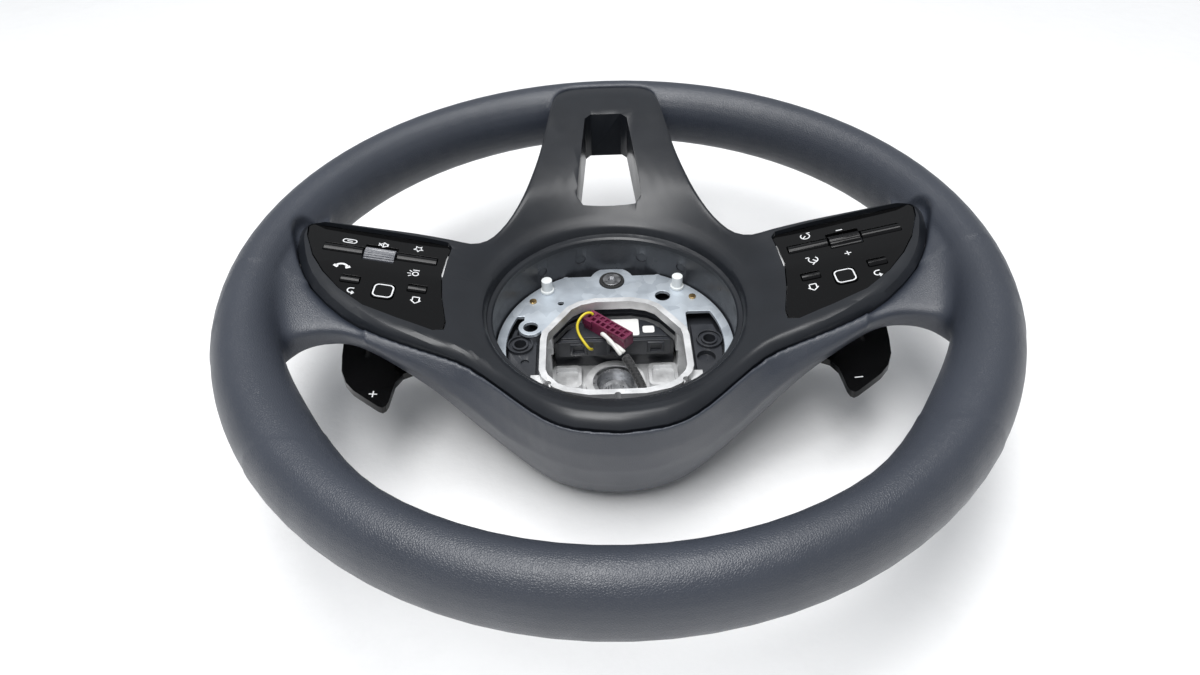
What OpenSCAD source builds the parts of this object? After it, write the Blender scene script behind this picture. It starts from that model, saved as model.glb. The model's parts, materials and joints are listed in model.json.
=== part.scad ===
// Car steering wheel with the driver's airbag taken out, lying on its back.
// +Z points at the driver, -Y is the top of the wheel and +Y the lower spoke.
// Left and right are the driver's: left is +X and right is -X.
// The origin is on the steering axis, in the plane that the hub's back rests on.

/* [Rim] */
// Diameter over the outside of the rim
rim_d = 375; // [360:1:390]
// Width of the rim's section across its radius
rim_w = 29; // [26:0.5:32]
// Height of the rim's section along the steering axis
rim_h = 38; // [34:0.5:42]
// Height of the rim's middle plane over the hub's back face
rim_z = 88; // [84:1:94]
// How far the rim swells inwards at each thumb rest
thumb_swell = 5; // [0:0.5:7]
// Width of the cast ring inside the rim
core_w = 14; // [10:1:16]
// Height of the cast ring inside the rim
core_h = 16; // [12:1:20]

/* [Hub] */
// Radius of the hub opening across the wheel
opening_rx = 70.5; // [69:0.5:72]
// Radius of the hub opening from top to bottom of the wheel
opening_ry = 75; // [73:0.5:76]
// Radius of the lower lip of the opening
lip_r = 61.5; // [60:0.5:62.5]
// Radius of the flat face that the hub rests on
rest_r = 56; // [52:0.5:58]
// Radius of the hole in the rear cover for the column
column_hole_r = 30; // [24:0.5:34]
// Radius of the cast boss round the steel insert
boss_r = 16.4; // [15:0.2:18]
// Radius of the steel insert
insert_r = 12.5; // [11.5:0.1:13.5]
// Radius of the hole for the centre bolt
bolt_hole_r = 7.2; // [6:0.1:8]
// Radius of the recess for the bolt head
bolt_head_r = 10.2; // [9.5:0.1:10.8]
// Number of splines in the insert
spline_count = 36; // [24:2:48]

/* [Trim] */
// Thickness of the trim bezel
trim_t = 2.6; // [2:0.1:3.2]
// Gap between the trim and the pieces beside it
trim_gap = 0.5; // [0.3:0.1:1]
// Half width of the slot in the lower spoke, at its end by the rim
slot_far_half = 12.6; // [10:0.2:14]
// Half width of the slot at its end by the hub
slot_near_half = 18.2; // [16:0.2:19]
// Distance from the axis to the slot's end by the rim
slot_far_y = 142; // [136:0.5:144]
// Distance from the axis to the slot's end by the hub
slot_near_y = 77.5; // [77:0.5:82]

/* [Switches] */
// Thickness of the switch panel's face
panel_t = 2.2; // [1.8:0.1:2.6]
// Height that the rockers stand over the panel
rocker_proud = 1.2; // [0.8:0.1:1.6]
// Tilt of a rocker each way, in degrees
rocker_tilt = 4; // [2:0.5:5]
// Radius of the rollers
roller_r = 5.6; // [5.2:0.1:5.8]
// Number of grooves round a roller
roller_grooves = 28; // [20:1:36]
// Side of the touch pad
pad_side = 10.4; // [9:0.2:11]
// Radius of the rockers' pins
pin_r = 1; // [0.8:0.05:1.1]
// Radial clearance of the pins in their holes
pin_clear = 0.05; // [0.03:0.01:0.09]

/* [Paddles] */
// Thickness of the paddle's blade
paddle_t = 4.2; // [3:0.1:5]
// Radius of the paddle's steel pin
paddle_pin_r = 1.5; // [1.2:0.1:2]
// Radial clearance of the pin in the paddle
paddle_pin_clear = 0.06; // [0.03:0.01:0.09]

/* [Airbag seat] */
// Radius of the steel plate
plate_r = 62; // [60:0.2:62.4]
// Thickness of the steel plate
plate_t = 2; // [1.5:0.1:2.5]
// Height of the top of the plate over the hub's back face
plate_top = 45; // [44:0.5:46]
// Radius of the guide posts
post_r = 3; // [2.6:0.1:3.4]
// Height of the guide posts over the plate
post_h = 8; // [6:0.5:10]
// Radius of the sockets for the airbag's pins
socket_r = 3.2; // [2.8:0.1:3.6]

/* [Hidden] */

LEFT = 1;
RIGHT = -1;

// Rim, and the ring of the armature inside it
rim_r = rim_d / 2 - rim_w / 2;
rim_stations = 84;
rim_points = 24;
core_clear = 0.4;
core_t = 3.2;
core_sides = 120;
arm_end_gap = 0.05;

// A smooth curve through rows of [x, value], flat beyond its ends
function slope_at(rows, i) =
    let (last = len(rows) - 1)
    i <= 0 || i >= last ? 0
    : (rows[i + 1][1] - rows[i - 1][1]) / (rows[i + 1][0] - rows[i - 1][0]);
function row_under(rows, x, i = 0) =
    i >= len(rows) - 2 || x < rows[i + 1][0] ? i : row_under(rows, x, i + 1);
function curve(x, rows) =
    let (
        i = row_under(rows, x),
        h = rows[i + 1][0] - rows[i][0],
        t = max(0, min(1, (x - rows[i][0]) / h))
    )
    rows[i][1] * (1 + 2 * t) * (1 - t) * (1 - t)
    + rows[i + 1][1] * t * t * (3 - 2 * t)
    + slope_at(rows, i) * h * t * (1 - t) * (1 - t)
    - slope_at(rows, i + 1) * h * t * t * (1 - t);
function ease(t) = let (u = max(0, min(1, t))) u * u * (3 - 2 * u);
function mixed(a, b, t) = a + (b - a) * t;

// A smooth closed or open line through plan points, with steps points a span
function span_point(p, q, r, s, t) =
    0.5 * (2 * q + (r - p) * t + (2 * p - 5 * q + 4 * r - s) * t * t
    + (3 * q - p - 3 * r + s) * t * t * t);
function smooth_line(pts, steps) =
    let (last = len(pts) - 1)
    [
        for (i = [0:last - 1], k = [0:steps - 1])
            span_point(pts[max(0, i - 1)], pts[i], pts[i + 1], pts[min(last, i + 2)], k / steps),
        pts[last]
    ];
function mirrored_loop(half) =
    concat(half, [for (i = [len(half) - 2:-1:1]) [-half[i][0], half[i][1]]]);

// Skin between rows of points; each row is a closed cross section
module loft(rows, ring = false) {
    n = len(rows);
    m = len(rows[0]);
    last = ring ? n - 1 : n - 2;
    polyhedron(
        points = [for (row = rows) each row],
        faces = concat(
            [for (i = [0:last], j = [0:m - 1]) [i * m + j, i * m + (j + 1) % m, (i + 1) % n * m + j]],
            [for (i = [0:last], j = [0:m - 1])
                [i * m + (j + 1) % m, (i + 1) % n * m + (j + 1) % m, (i + 1) % n * m + j]],
            ring ? [] : [[for (j = [m - 1:-1:0]) j], [for (j = [0:m - 1]) (n - 1) * m + j]]
        ),
        convexity = 10
    );
}

// Height of the trim's dished face over the rim's plane, by distance from the axis
DISH = [[61, -15], [70, -14], [80, -9.2], [90, -5.4], [101, -2.4], [112, 0],
    [126, 2.6], [139, 5], [152, 7.3], [165, 8.6], [172, 9]];
// The face leans up towards the lower spoke
dish_lean = 0.055;
function dish_z(x, y) =
    let (r = norm([x, y]))
    rim_z + curve(r, DISH) + dish_lean * y * ease((r - 72) / 20);

// Plan outline of the trim, from the top of the wheel round the left side to the lower spoke
TRIM_HALF = [
    [0, -86], [20, -83.2], [33, -76.6], [45.5, -65.4], [61.5, -49.6], [74, -41], [92, -35.8],
    [112, -29], [130, -18.8], [146, -3.2], [154.5, 11], [159, 24], [161, 33], [158.8, 40.5],
    [152, 43], [131, 42.3],
    [105, 41], [86, 40.2], [75, 41], [66.5, 46.5], [60, 55], [53.5, 66], [48, 78], [44, 91],
    [40.5, 105], [38, 118], [36, 131], [34, 144], [32, 156], [28.5, 164], [21, 168.2],
    [10, 169.3], [0, 169.5]
];
trim_edge = mirrored_loop(smooth_line(TRIM_HALF, 2));
TRIM_ORDER = [len(trim_edge) - 1:-1:0];
// Index of the outline point at the outer tip, where the edge turns deep
trim_tip = 26;
edge_shallow = 4;
edge_deep = 11;
edge_round = 7;
edge_drop = 5;
// Shares of the way from the hub opening to the edge, and how far each rounds over
TRIM_SHARES = [0, 0.06, 0.16, 0.3, 0.46, 0.62, 0.76, 0.88, 0.95, 1];

function trim_half_index(i) = min(i, len(trim_edge) - i);
function near_share(i) = 1 - ease((trim_half_index(i) - trim_tip + 4) / 8);
// The edge is deep along the windows and shallow where foam meets it
function edge_depth(i) =
    mixed(edge_deep, edge_shallow, max(near_share(i), ease((norm(trim_edge[i]) - 146) / 12)));
// How far the face rolls down beside its edge
function roll_off(i, away) =
    let (wide = mixed(2.5, edge_round, near_share(i)), deep = mixed(1.2, edge_drop, near_share(i)))
    deep * pow(max(0, 1 - away / wide), 2);
function opening_point(p) =
    let (a = atan2(p[1] / opening_ry, p[0] / opening_rx))
    [opening_rx * cos(a), opening_ry * sin(a)];
function lip_point(p) = let (a = atan2(p[1] / opening_ry, p[0] / opening_rx)) lip_r * [cos(a), sin(a)];
lip_z = rim_z - 21.5;
// Steps of the funnel between lip and opening: share of the way out, and height over the lip
LIP_STEPS = [[0, 0], [0.08, 0.9], [0.3, 1.2], [0.37, 4.4], [0.5, 6.2], [0.72, 7.2]];

function unit(v) = v / norm(v);
// Point of the face at a share of the way to the edge, a drop below it
function face_point(i, share, drop) =
    let (
        out = trim_edge[i],
        q = opening_point(out),
        full = norm(out - q),
        p = q + (out - q) * share
    )
    [p[0], p[1], dish_z(p[0], p[1]) - roll_off(i, full * (1 - share)) - drop];
function edge_full(i) = norm(trim_edge[i] - opening_point(trim_edge[i]));
function edge_foot(i, grow, wall, drop) =
    let (full = edge_full(i), edge = face_point(i, 1 + grow / full, edge_depth(i) + drop))
    [for (by = [0, wall]) concat(
        [edge[0], edge[1]] - by * unit(trim_edge[i] - opening_point(trim_edge[i])), [edge[2]]
    )];
function top_row(i, grow) = [for (s = TRIM_SHARES) face_point(i, s * (1 + grow / edge_full(i)), 0)];
// Underside, from the edge's wall back to the opening
function under_row(i, wall, drop) = [
    for (k = [len(TRIM_SHARES) - 1:-1:0])
        let (wall_share = (wall + 0.08 * (len(TRIM_SHARES) - 1 - k)) / edge_full(i))
        face_point(i, min(TRIM_SHARES[k], 1 - wall_share), drop)
];

function trim_section(i) =
    let (lip = lip_point(trim_edge[i]), opening = opening_point(trim_edge[i]))
    concat(
        [for (step = LIP_STEPS) concat(mixed(lip, opening, step[0]), [lip_z + step[1]])],
        top_row(i, 0), edge_foot(i, 0, trim_t, 0), under_row(i, trim_t, trim_t),
        [[lip[0], lip[1], lip_z - trim_t]]
    );
// The room above the trim's underside, which other pieces keep clear of
function trim_room_section(i) =
    concat(
        [for (p = top_row(i, trim_gap)) [p[0], p[1], rim_z + 40]],
        edge_foot(i, trim_gap, trim_t + 2.5 * trim_gap, trim_gap),
        under_row(i, trim_t + 1.5 * trim_gap, trim_t + trim_gap)
    );

// Slot through the lower spoke
SLOT_HALF = [[0, slot_near_y], [slot_near_half - 3.5, slot_near_y], [slot_near_half, slot_near_y + 4],
    [slot_far_half, slot_far_y - 3.5], [slot_far_half - 3.5, slot_far_y], [0, slot_far_y]];
slot_wall = 2;
slot_floor_far = rim_z - 14;
slot_floor_near = rim_z - 29;
module slot_plan(grow = 0) {
    offset(delta = grow) polygon(mirrored_loop(SLOT_HALF));
}
// A slab across the wheel whose underside slopes as the lower spoke's floor does
spoke_floor_far_y = 160;
spoke_floor_near_y = 70;
function spoke_floor_z(y) =
    mixed(slot_floor_near, slot_floor_far, (y - slot_near_y) / (slot_far_y - slot_near_y));
module spoke_slab(low, high) {
    rotate([90, 0, 90])
        linear_extrude(120, center = true)
            polygon([
                [spoke_floor_near_y - 10, spoke_floor_z(spoke_floor_near_y - 10) + low],
                [spoke_floor_far_y + 20, spoke_floor_z(spoke_floor_far_y + 20) + low],
                [spoke_floor_far_y + 20, spoke_floor_z(spoke_floor_far_y + 20) + high],
                [spoke_floor_near_y - 10, spoke_floor_z(spoke_floor_near_y - 10) + high]
            ]);
}

// Each switch panel has its own frame: u outwards, v to the bottom of the wheel, w out of its face
panel_at = [112, 10, rim_z + 0.6];
panel_pitch = 10.8;
panel_turn = 3;
module on_side(side) {
    mirror([side == RIGHT ? 1 : 0, 0, 0]) children();
}
module on_panel(side) {
    on_side(side) translate(panel_at) rotate([0, -panel_pitch, 0]) rotate([0, 0, panel_turn]) children();
}
PANEL_OUTLINE = [
    [46.2, 27.5], [44.4, 18.7], [38.2, 5], [30, -6.4], [19.8, -16.5], [6.3, -25.6], [-10.8, -31],
    [-28.4, -35.2], [-33, -33.3], [-33, -28.3], [-28.4, -11.6], [-26, 2], [-26.2, 15.8],
    [-27.2, 25.5], [-25, 28], [20.5, 29], [44.5, 29.4]
];
// The lower field of the face falls away below the crease
crease_v = 0;
field_fall = 0.085;
function face_w(v) = v < crease_v ? field_fall * (v - crease_v) : 0;

// Rocker switches: centre u, centre v, length and width of the opening, then how much shorter
// the switch's body is at its low and high u ends, where it stands beside the roller's pocket
beside_roller = 4;
ROCKER_INNER = [-11.95, 13.1, 20.7, 6.8, 0, beside_roller];
ROCKER_OUTER = [25.05, 13.1, 20.1, 6.8, beside_roller, 0];
KEY_INNER = [-16.2, -9.3, 9.6, 5.6, 0, 0];
KEY_OUTER = [16.3, -9.3, 9.6, 5.6, 0, 0];
ROCKERS = [ROCKER_INNER, ROCKER_OUTER, KEY_INNER, KEY_OUTER];
ROLLER = [6.7, 13.1, 16.6, 12.6];
PAD = [-0.7, -14.2, pad_side + 0.7, pad_side + 0.7];
rocker_side_gap = 0.7;
rocker_end_gap = 0.4;
pivot_w = -4.5;
roller_w = -4;
pin_bite = 0.9;
pin_end_gap = 0.3;
cradle_margin = 1.4;
axle_r = 1;
housing_floor = -12;
HOUSING_OUTLINE = [
    [39, 26], [38.5, 17], [35, 4], [28.5, -5.5], [18.8, -14.8], [5, -23.6], [-10, -28], [-25, -31],
    [-28, -29], [-24, -10], [-22.6, 2], [-23, 16], [-23.5, 25]
];
board_t = 1.5;
mat_t = 0.5;
pad_travel = 0.4;
pad_depth = 5;
crown_t = 1.8;
rocker_depth = 2;
dome_gap = 0.4;
roller_end_gap = 0.7;
cradle_travel = 0.5;
cradle_gap = 0.35;
cradle_top = -panel_t - 0.35;
cradle_base = -10;

// Foam skin of the spokes and hub: values against x, at the edge below the trim and at its foot
FOAM_EDGE_Y = [[0, -88], [20, -85.3], [33, -79.1], [45.5, -68.2], [61.5, -52.3], [74, -43.3],
    [92, -37.9], [112, -31.2], [130, -21.4], [143, -9], [151, -1], [166, 4]];
FOAM_EDGE_Z = [[0, -15.6], [28, -15.5], [45.5, -15.3], [61.5, -15.5], [69, -14.8], [79, -13],
    [92, -10], [112, -5.8], [130, -2.3], [143, 1.5], [151, 5], [166, 12]];
FOAM_BELLY_Y = [[0, -84.5], [24, -81], [52, -66], [70, -54], [88, -45], [106, -38], [120, -32],
    [131, -28.5], [143, -30], [151, -34.5], [157, -45], [166, -62]];
FOAM_BELLY_Z = [[0, -45], [24, -44], [52, -40], [70, -31], [88, -22], [106, -14], [120, -8],
    [131, -5], [143, -3], [151, -2], [166, 0]];
FOAM_FOOT_Y = [[0, -70.5], [24, -66.5], [40, -58.5], [52, -50], [70, -40], [88, -33], [106, -27.5],
    [120, -24], [131, -23], [143, -25], [151, -30], [157, -40], [166, -56]];
FOAM_FOOT_Z = [[0, -78.5], [24, -78], [40, -76], [52, -72], [70, -61], [88, -44], [106, -30],
    [120, -22], [131, -18.5], [166, -18]];
FOAM_BACK = [[0, 5], [100, 6], [108, 10], [119, 34], [131, 52], [143, 56], [151, 58], [166, 58]];
foam_half_x = 166;
foam_stations = 60;

function foam_section(x) =
    let (
        a = abs(x),
        ey = curve(a, FOAM_EDGE_Y),
        ez = rim_z + curve(a, FOAM_EDGE_Z),
        by = curve(a, FOAM_BELLY_Y),
        bz = rim_z + curve(a, FOAM_BELLY_Z),
        fy = curve(a, FOAM_FOOT_Y),
        fz = rim_z + curve(a, FOAM_FOOT_Z),
        back = curve(a, FOAM_BACK),
        // The skin is bowed outwards between its edge and its foot
        upper = [mixed(ey, by, 0.5) - 1.2, mixed(ez, bz, 0.5)],
        lower = [mixed(by, fy, 0.5) - 1.2, mixed(bz, fz, 0.5)]
    )
    [
        [x, ey, ez], [x, upper[0], upper[1]], [x, by, bz], [x, lower[0], lower[1]], [x, fy, fz],
        [x, fy + back, fz], [x, lower[0] + back, lower[1]], [x, by + back, bz],
        [x, upper[0] + back, upper[1]], [x, ey + back, ez]
    ];

// Rim section: an oval that swells inwards at the thumb rests
thumb_angle = 327;
thumb_reach = 26;
function swell_at(a) =
    let (left = abs(a - thumb_angle), right = abs(a - (540 - thumb_angle)))
    thumb_swell * (1 - ease(min(left, right) / thumb_reach));
function rim_section(a) = [
    for (k = [0:rim_points - 1])
        let (
            f = 360 * k / rim_points,
            reach = rim_w / 2 * cos(f) - swell_at(a) * pow(max(0, -cos(f)), 1.5),
            r = rim_r + reach
        )
        [r * cos(a), r * sin(a), rim_z + rim_h / 2 * sin(f)]
];

// Side arm of the armature, seen along Y, and the y that it spans
SIDE_ARM = [
    [38, 8], [50, 9.5], [62, 20], [70, 29], [88, 47.5], [106, 61.5], [122, 69], [140, 72.5],
    [rim_r - core_w / 2 + 2, 80], [rim_r - core_w / 2 + 2, 88], [140, 78.6], [122, 75.5], [106, 69],
    [88, 56], [70, 37], [60, 27], [50, 16], [38, 12]
];
side_arm_y = [2, 24];
// Lower arms beside the slot, seen along X, and the x that they span
LOWER_ARM = [
    [40, 8], [48, 8], [60, 17], [67, 30], [73, 50], [79, 62.5], [91, 66.5], [120, 73], [148, 79.5],
    [rim_r - core_w / 2 + 2, 82], [rim_r - core_w / 2 + 2, 89], [148, 86.5], [120, 80.5], [90, 74],
    [72, 66], [62, 34], [54, 21], [46, 13], [40, 12]
];
lower_arm_x = [21, 28.5];
module side_arm(grow = 0) {
    translate([0, side_arm_y[1] + grow, 0])
        rotate([90, 0, 0])
            linear_extrude(side_arm_y[1] - side_arm_y[0] + 2 * grow) offset(delta = grow) polygon(SIDE_ARM);
}
module lower_arm(grow = 0) {
    translate([lower_arm_x[0] - grow, 0, 0])
        rotate([90, 0, 90])
            linear_extrude(lower_arm_x[1] - lower_arm_x[0] + 2 * grow) offset(delta = grow) polygon(LOWER_ARM);
}

// Cast hub: deck, frame ring round the well, and the levels between them
deck_bottom = 8;
deck_top = 12;
deck_r = 54;
deck_size = [92, 98];
boss_top = 16;
frame_top = rim_z - 40;
// The frame is a flat ring on posts, which rise from a ledge
frame_depth = 5.5;
frame_post = 8;
frame_ledge_w = 5;
frame_ledge_top = 34;
frame_ledge_bottom = 30;
frame_wall = 3.4;
// Tabs that stand on the ledge beside the frame
frame_tab_at = [40.2, -25.2];
frame_tab_size = [6.4, 7];
frame_tab_top = rim_z - 44;
// Notches in the top of the frame
FRAME_NOTCHES = [[0, -40.8], [34.2, -31.6], [-34.2, -31.6], [-28.6, 25.6]];
frame_notch_r = 1.6;
FRAME_OUTLINE = [
    [39, 1], [38, 7], [25, 26.5], [19, 30.5], [10, 33], [-10, 33], [-19, 30.5], [-25, 26.5], [-38, 7],
    [-39, 1], [-39, -22], [-37.5, -27], [-31.5, -34.5], [-26, -37.5], [-14, -40.5], [14, -40.5],
    [26, -37.5], [31.5, -34.5], [37.5, -27], [39, -22]
];
module frame_plan(grow = 0) {
    offset(delta = grow) polygon(FRAME_OUTLINE);
}
LEGS = [[37, -18], [30, -32], [37, 12], [2.4, 44]];

// Rear cover: a bowl whose radius and height follow these rows
BOWL = [[column_hole_r, 0], [rest_r, 0], [62.5, 3], [69, 10], [80, 26], [94, 44], [109, 57], [122, 65.5]];
bowl_t = 2.5;
// Plan of the bowl inside the foam skin and under the trim
COVER_HALF = [
    [0, -64.8], [24, -60.6], [40, -52.6], [52, -44.2], [70, -33.4], [88, -26.4], [103, -21],
    [105, -6], [112, 4], [112, 38.5], [86, 38], [74, 38.8], [64.5, 44.5], [58, 53.5], [51.5, 64.5], [45, 74],
    [0, 75]
];
cover_wall = 2.2;
cover_top = rim_z - 26;
COVER_SCREWS = [90, 210, 330];
cover_screw_at = 40;
cover_screw_core_r = 2.05;
cover_screw_head_r = 4;
cover_head_top = 3.6;

// Paddle: pivot, slope of its blade, and the y that its arm spans
paddle_pivot = [76, 46];
paddle_slope = 5.7;
paddle_arm_y = [-21.5, -6.5];
paddle_window_x = [86, 106];
PADDLE_PLAN = [
    [74, -21.5], [101, -21.5], [106.5, -25], [109.4, -31], [110, -37.5], [110.5, -44], [111.3, -46.8],
    [112.8, -48.2], [115, -47.3], [121.5, -42.6], [128.2, -37.6], [133, -32.2], [136.5, -24.5],
    [138.4, -14], [139.6, -4], [138.8, -1], [136.5, 0], [128, -1], [112, -4.5], [101, -6.5],
    [74, -6.5]
];

// Airbag plate outline pieces
plate_chord_y = 56;
plate_ear = [0, 51.4];
plate_ear_r = 12.6;
plate_foot_y = -31;
plate_arm_y = 23;
plate_arm_w = 5;
plate_frame_gap = 1.8;
plate_hole = [44.7, 14.2];
plate_hole_r = 3.9;
plate_screw_r = 2.5;
screw_head_r = 5.2;
damper_r = 7;
damper_low = plate_top - plate_t - 4.3;
damper_high = plate_top + 1;
lug_r = 6;
post_at = [36.3, 44];
rivet_at = [44, 35];
socket_at = [50, 4];
socket_ring_r = 6.8;
carrier_x = 41.5;
carrier_bottom_y = -29;

module rounded_plan(size_u, size_v, r) {
    square([size_u - 2 * r, size_v], center = true);
    square([size_u, size_v - 2 * r], center = true);
    for (i = [-1, 1], j = [-1, 1])
        translate([i * (size_u / 2 - r), j * (size_v / 2 - r)]) circle(r, $fn = 24);
}

// Rim, side spokes and the hub's upper skirt: one foam moulding over the armature
module rim_grip() {
    color("#3b3f45")
        difference() {
            union() {
                loft([for (i = [0:rim_stations - 1]) rim_section(360 * i / rim_stations)], ring = true);
                loft([
                    for (i = [0:foam_stations])
                        foam_section(mixed(foam_half_x, -foam_half_x, i / foam_stations))
                ]);
            }
            loft([for (i = TRIM_ORDER) trim_room_section(i)], ring = true);
            rotate_extrude($fn = rim_stations)
                translate([rim_r - core_w / 2 - core_clear, rim_z - core_h / 2 - core_clear])
                    square([core_w + 2 * core_clear, core_h + 2 * core_clear]);
            for (side = [LEFT, RIGHT]) {
                on_side(side) side_arm(core_clear);
                on_side(side) lower_arm(core_clear);
                on_panel(side) {
                    translate([0, 0, housing_floor - board_t - 1.4])
                        linear_extrude(20) offset(delta = 1) polygon(HOUSING_OUTLINE);
                    panel_body(trim_gap, 12);
                }
            }
            // Small pockets under the skirt take the rear cover's snaps
            for (a = [236:17:304])
                hull()
                    for (k = [-1, 1])
                        rotate([0, 0, a + 2.2 * k]) translate([64.4, 0, 12]) sphere(1.6, $fn = 8);
            for (a = [246:28:302])
                hull()
                    for (k = [-1, 1])
                        rotate([0, 0, a + 1.5 * k]) translate([65, 0, 20]) sphere(1.2, $fn = 8);
        }
}
rim_grip();

// Steel channel inside the rim, open underneath, that the arms are cast on to
module rim_core() {
    color("#8f959b")
        rotate_extrude($fn = core_sides)
            difference() {
                translate([rim_r - core_w / 2, rim_z - core_h / 2]) square([core_w, core_h]);
                translate([rim_r - core_w / 2 + core_t, rim_z - core_h / 2 - 1])
                    square([core_w - 2 * core_t, core_h + 1 - core_t]);
            }
}

// Ledge of the hub under the liner's floor, and where the frame's posts stand on it
module frame_post_plan() {
    for (side = [-1, 1], at = LEGS)
        translate([side * at[0], at[1]]) square(frame_post, center = true);
}
module frame_ring_plan(inset = 0) {
    difference() {
        frame_plan(-inset);
        frame_plan(inset - frame_wall);
    }
}
module ledge_plan() {
    difference() {
        frame_plan(frame_ledge_w + 1);
        frame_plan(-frame_wall);
        difference() {
            frame_plan(1);
            frame_post_plan();
        }
    }
}

// Die-cast skeleton: hub deck with boss, pads and legs, and the ledge round the well
module deck() {
    translate([0, 0, deck_bottom])
        linear_extrude(deck_top - deck_bottom)
            difference() {
                intersection() {
                    circle(deck_r, $fn = 96);
                    square(deck_size, center = true);
                }
                circle(insert_r - 0.5, $fn = 48);
                translate([15, -29]) circle(5, $fn = 32);
                for (side = [-1, 1]) translate([side * 30, 30]) circle(5, $fn = 32);
            }
    // Raised pads either side of the boss
    for (side = [-1, 1])
        translate([side * 26.5, 5, deck_top])
            difference() {
                linear_extrude(4) rounded_plan(16, 17, 3);
                translate([0, 0, 1]) linear_extrude(4) rounded_plan(12.5, 13.5, 2);
            }
}
module armature() {
    color("#a9adb2")
        difference() {
            union() {
                deck();
                translate([0, 0, 2]) cylinder(r = boss_r, h = boss_top - 2, $fn = 72);
                translate([0, 0, frame_ledge_bottom])
                    linear_extrude(frame_ledge_top - frame_ledge_bottom) ledge_plan();
                for (side = [-1, 1], at = LEGS)
                    translate([side * at[0] - 2.5, at[1] - frame_post / 2, deck_top - 0.5])
                        cube([5, frame_post, frame_ledge_bottom - deck_top + 1]);
                // Lug under the plate's screw
                translate([0, plate_ear[1], frame_ledge_bottom]) {
                    cylinder(r = lug_r, h = damper_low - 0.1 - frame_ledge_bottom, $fn = 32);
                    translate([-lug_r + 1, -14, 0])
                        cube([2 * lug_r - 2, 12, frame_ledge_top - frame_ledge_bottom]);
                }
            }
            translate([0, 0, -1]) cylinder(r = insert_r, h = boss_top + 2, $fn = 72);
            for (a = COVER_SCREWS)
                rotate([0, 0, a]) translate([cover_screw_at, 0, deck_bottom - 1])
                    cylinder(r = cover_screw_core_r, h = deck_top, $fn = 24);
            translate([plate_ear[0], plate_ear[1], 0]) cylinder(r = 2.6, h = frame_ledge_bottom - 1, $fn = 24);
            translate([plate_ear[0], plate_ear[1], frame_ledge_bottom - 1.5])
                cylinder(r = plate_screw_r + 0.05, h = 20, $fn = 24);
        }
}

// The casting's frame round the well: a flat ring on posts, with a tab at either side
module hub_frame() {
    color("#a9adb2") {
        translate([0, 0, frame_top - frame_depth])
            linear_extrude(frame_depth)
                difference() {
                    frame_ring_plan();
                    for (at = FRAME_NOTCHES) translate(at) circle(frame_notch_r, $fn = 16);
                }
        translate([0, 0, frame_ledge_top + arm_end_gap])
            linear_extrude(frame_top - frame_depth / 2 - frame_ledge_top)
                intersection() {
                    frame_ring_plan(0.2);
                    frame_post_plan();
                }
        for (side = [-1, 1])
            translate([side * frame_tab_at[0], frame_tab_at[1], frame_ledge_top + arm_end_gap])
                linear_extrude(frame_tab_top - frame_ledge_top) square(frame_tab_size, center = true);
    }
}

// The casting's four arms, from the hub deck to the ring inside the rim
module spoke_arms() {
    color("#a9adb2")
        for (side = [LEFT, RIGHT])
            on_side(side)
                intersection() {
                    cylinder(r = rim_r - core_w / 2 - arm_end_gap, h = rim_z + rim_h, $fn = core_sides);
                    union() {
                        difference() {
                            side_arm();
                            translate([0, 0, -1]) cube([deck_size[0] / 2 + arm_end_gap, 60, 60]);
                        }
                        difference() {
                            lower_arm();
                            translate([0, 0, -1]) cylinder(r = deck_r + arm_end_gap, h = 60, $fn = 96);
                        }
                    }
                }
}

// Steel insert: seat for the centre bolt above, splines for the column below
seat_bottom = 6.5;
seat_top = 10;
insert_bottom = 0.5;
spline_root_r = 9.2;
spline_tip_r = 8.5;
module hub_insert() {
    color("#8d9298")
        difference() {
            translate([0, 0, insert_bottom])
                cylinder(r = insert_r - 0.02, h = boss_top - insert_bottom - 0.4, $fn = 72);
            translate([0, 0, seat_top]) cylinder(r = bolt_head_r, h = 10, $fn = 72);
            translate([0, 0, insert_bottom - 1]) cylinder(r = bolt_hole_r, h = 20, $fn = 72);
            translate([0, 0, insert_bottom - 1])
                linear_extrude(seat_bottom - insert_bottom + 1)
                    polygon([
                        for (i = [0:spline_count - 1], k = [0, 1, 2, 3])
                            let (
                                a = 360 / spline_count * (i + [0.06, 0.44, 0.56, 0.94][k]),
                                r = k < 2 ? spline_tip_r : spline_root_r
                            )
                            [r * cos(a), r * sin(a)]
                    ]);
        }
}

// One-piece trim: ring round the hub, frames of the switch panels and face of the lower spoke
module trim_bezel() {
    color("#34373c")
        difference() {
            union() {
                loft([for (i = TRIM_ORDER) trim_section(i)], ring = true);
                // Walls that line the slot
                intersection() {
                    difference() {
                        translate([0, 0, rim_z - 60]) linear_extrude(100) slot_plan(slot_wall);
                        translate([0, 0, rim_z - 61]) linear_extrude(102) slot_plan();
                    }
                    spoke_slab(0, 60);
                    loft([for (i = TRIM_ORDER) trim_under_section(i)], ring = true);
                }
                // Snap posts under the face
                for (i = [-1, 1], at = SNAPS)
                    hull()
                        for (k = [0, 1])
                            translate([i * at[0], at[1], dish_z(at[0], at[1]) - trim_t - 4 * k + 0.6])
                                cylinder(r = 2 - 0.5 * k, h = 0.5, $fn = 8);
            }
            translate([0, 0, rim_z - 60]) linear_extrude(100) slot_plan();
            for (side = [LEFT, RIGHT])
                on_panel(side)
                    translate([0, 0, -30]) linear_extrude(60) offset(delta = trim_gap) polygon(PANEL_OUTLINE);
        }
}
SNAPS = [[26, 100], [26, 150], [62, -40], [66, 26]];
function trim_under_section(i) =
    let (top = top_row(i, 0))
    concat(
        [for (p = top) [p[0], p[1], p[2] - trim_t / 2]],
        [for (k = [len(top) - 1:-1:0]) [top[k][0], top[k][1], rim_z - 60]]
    );

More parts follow.
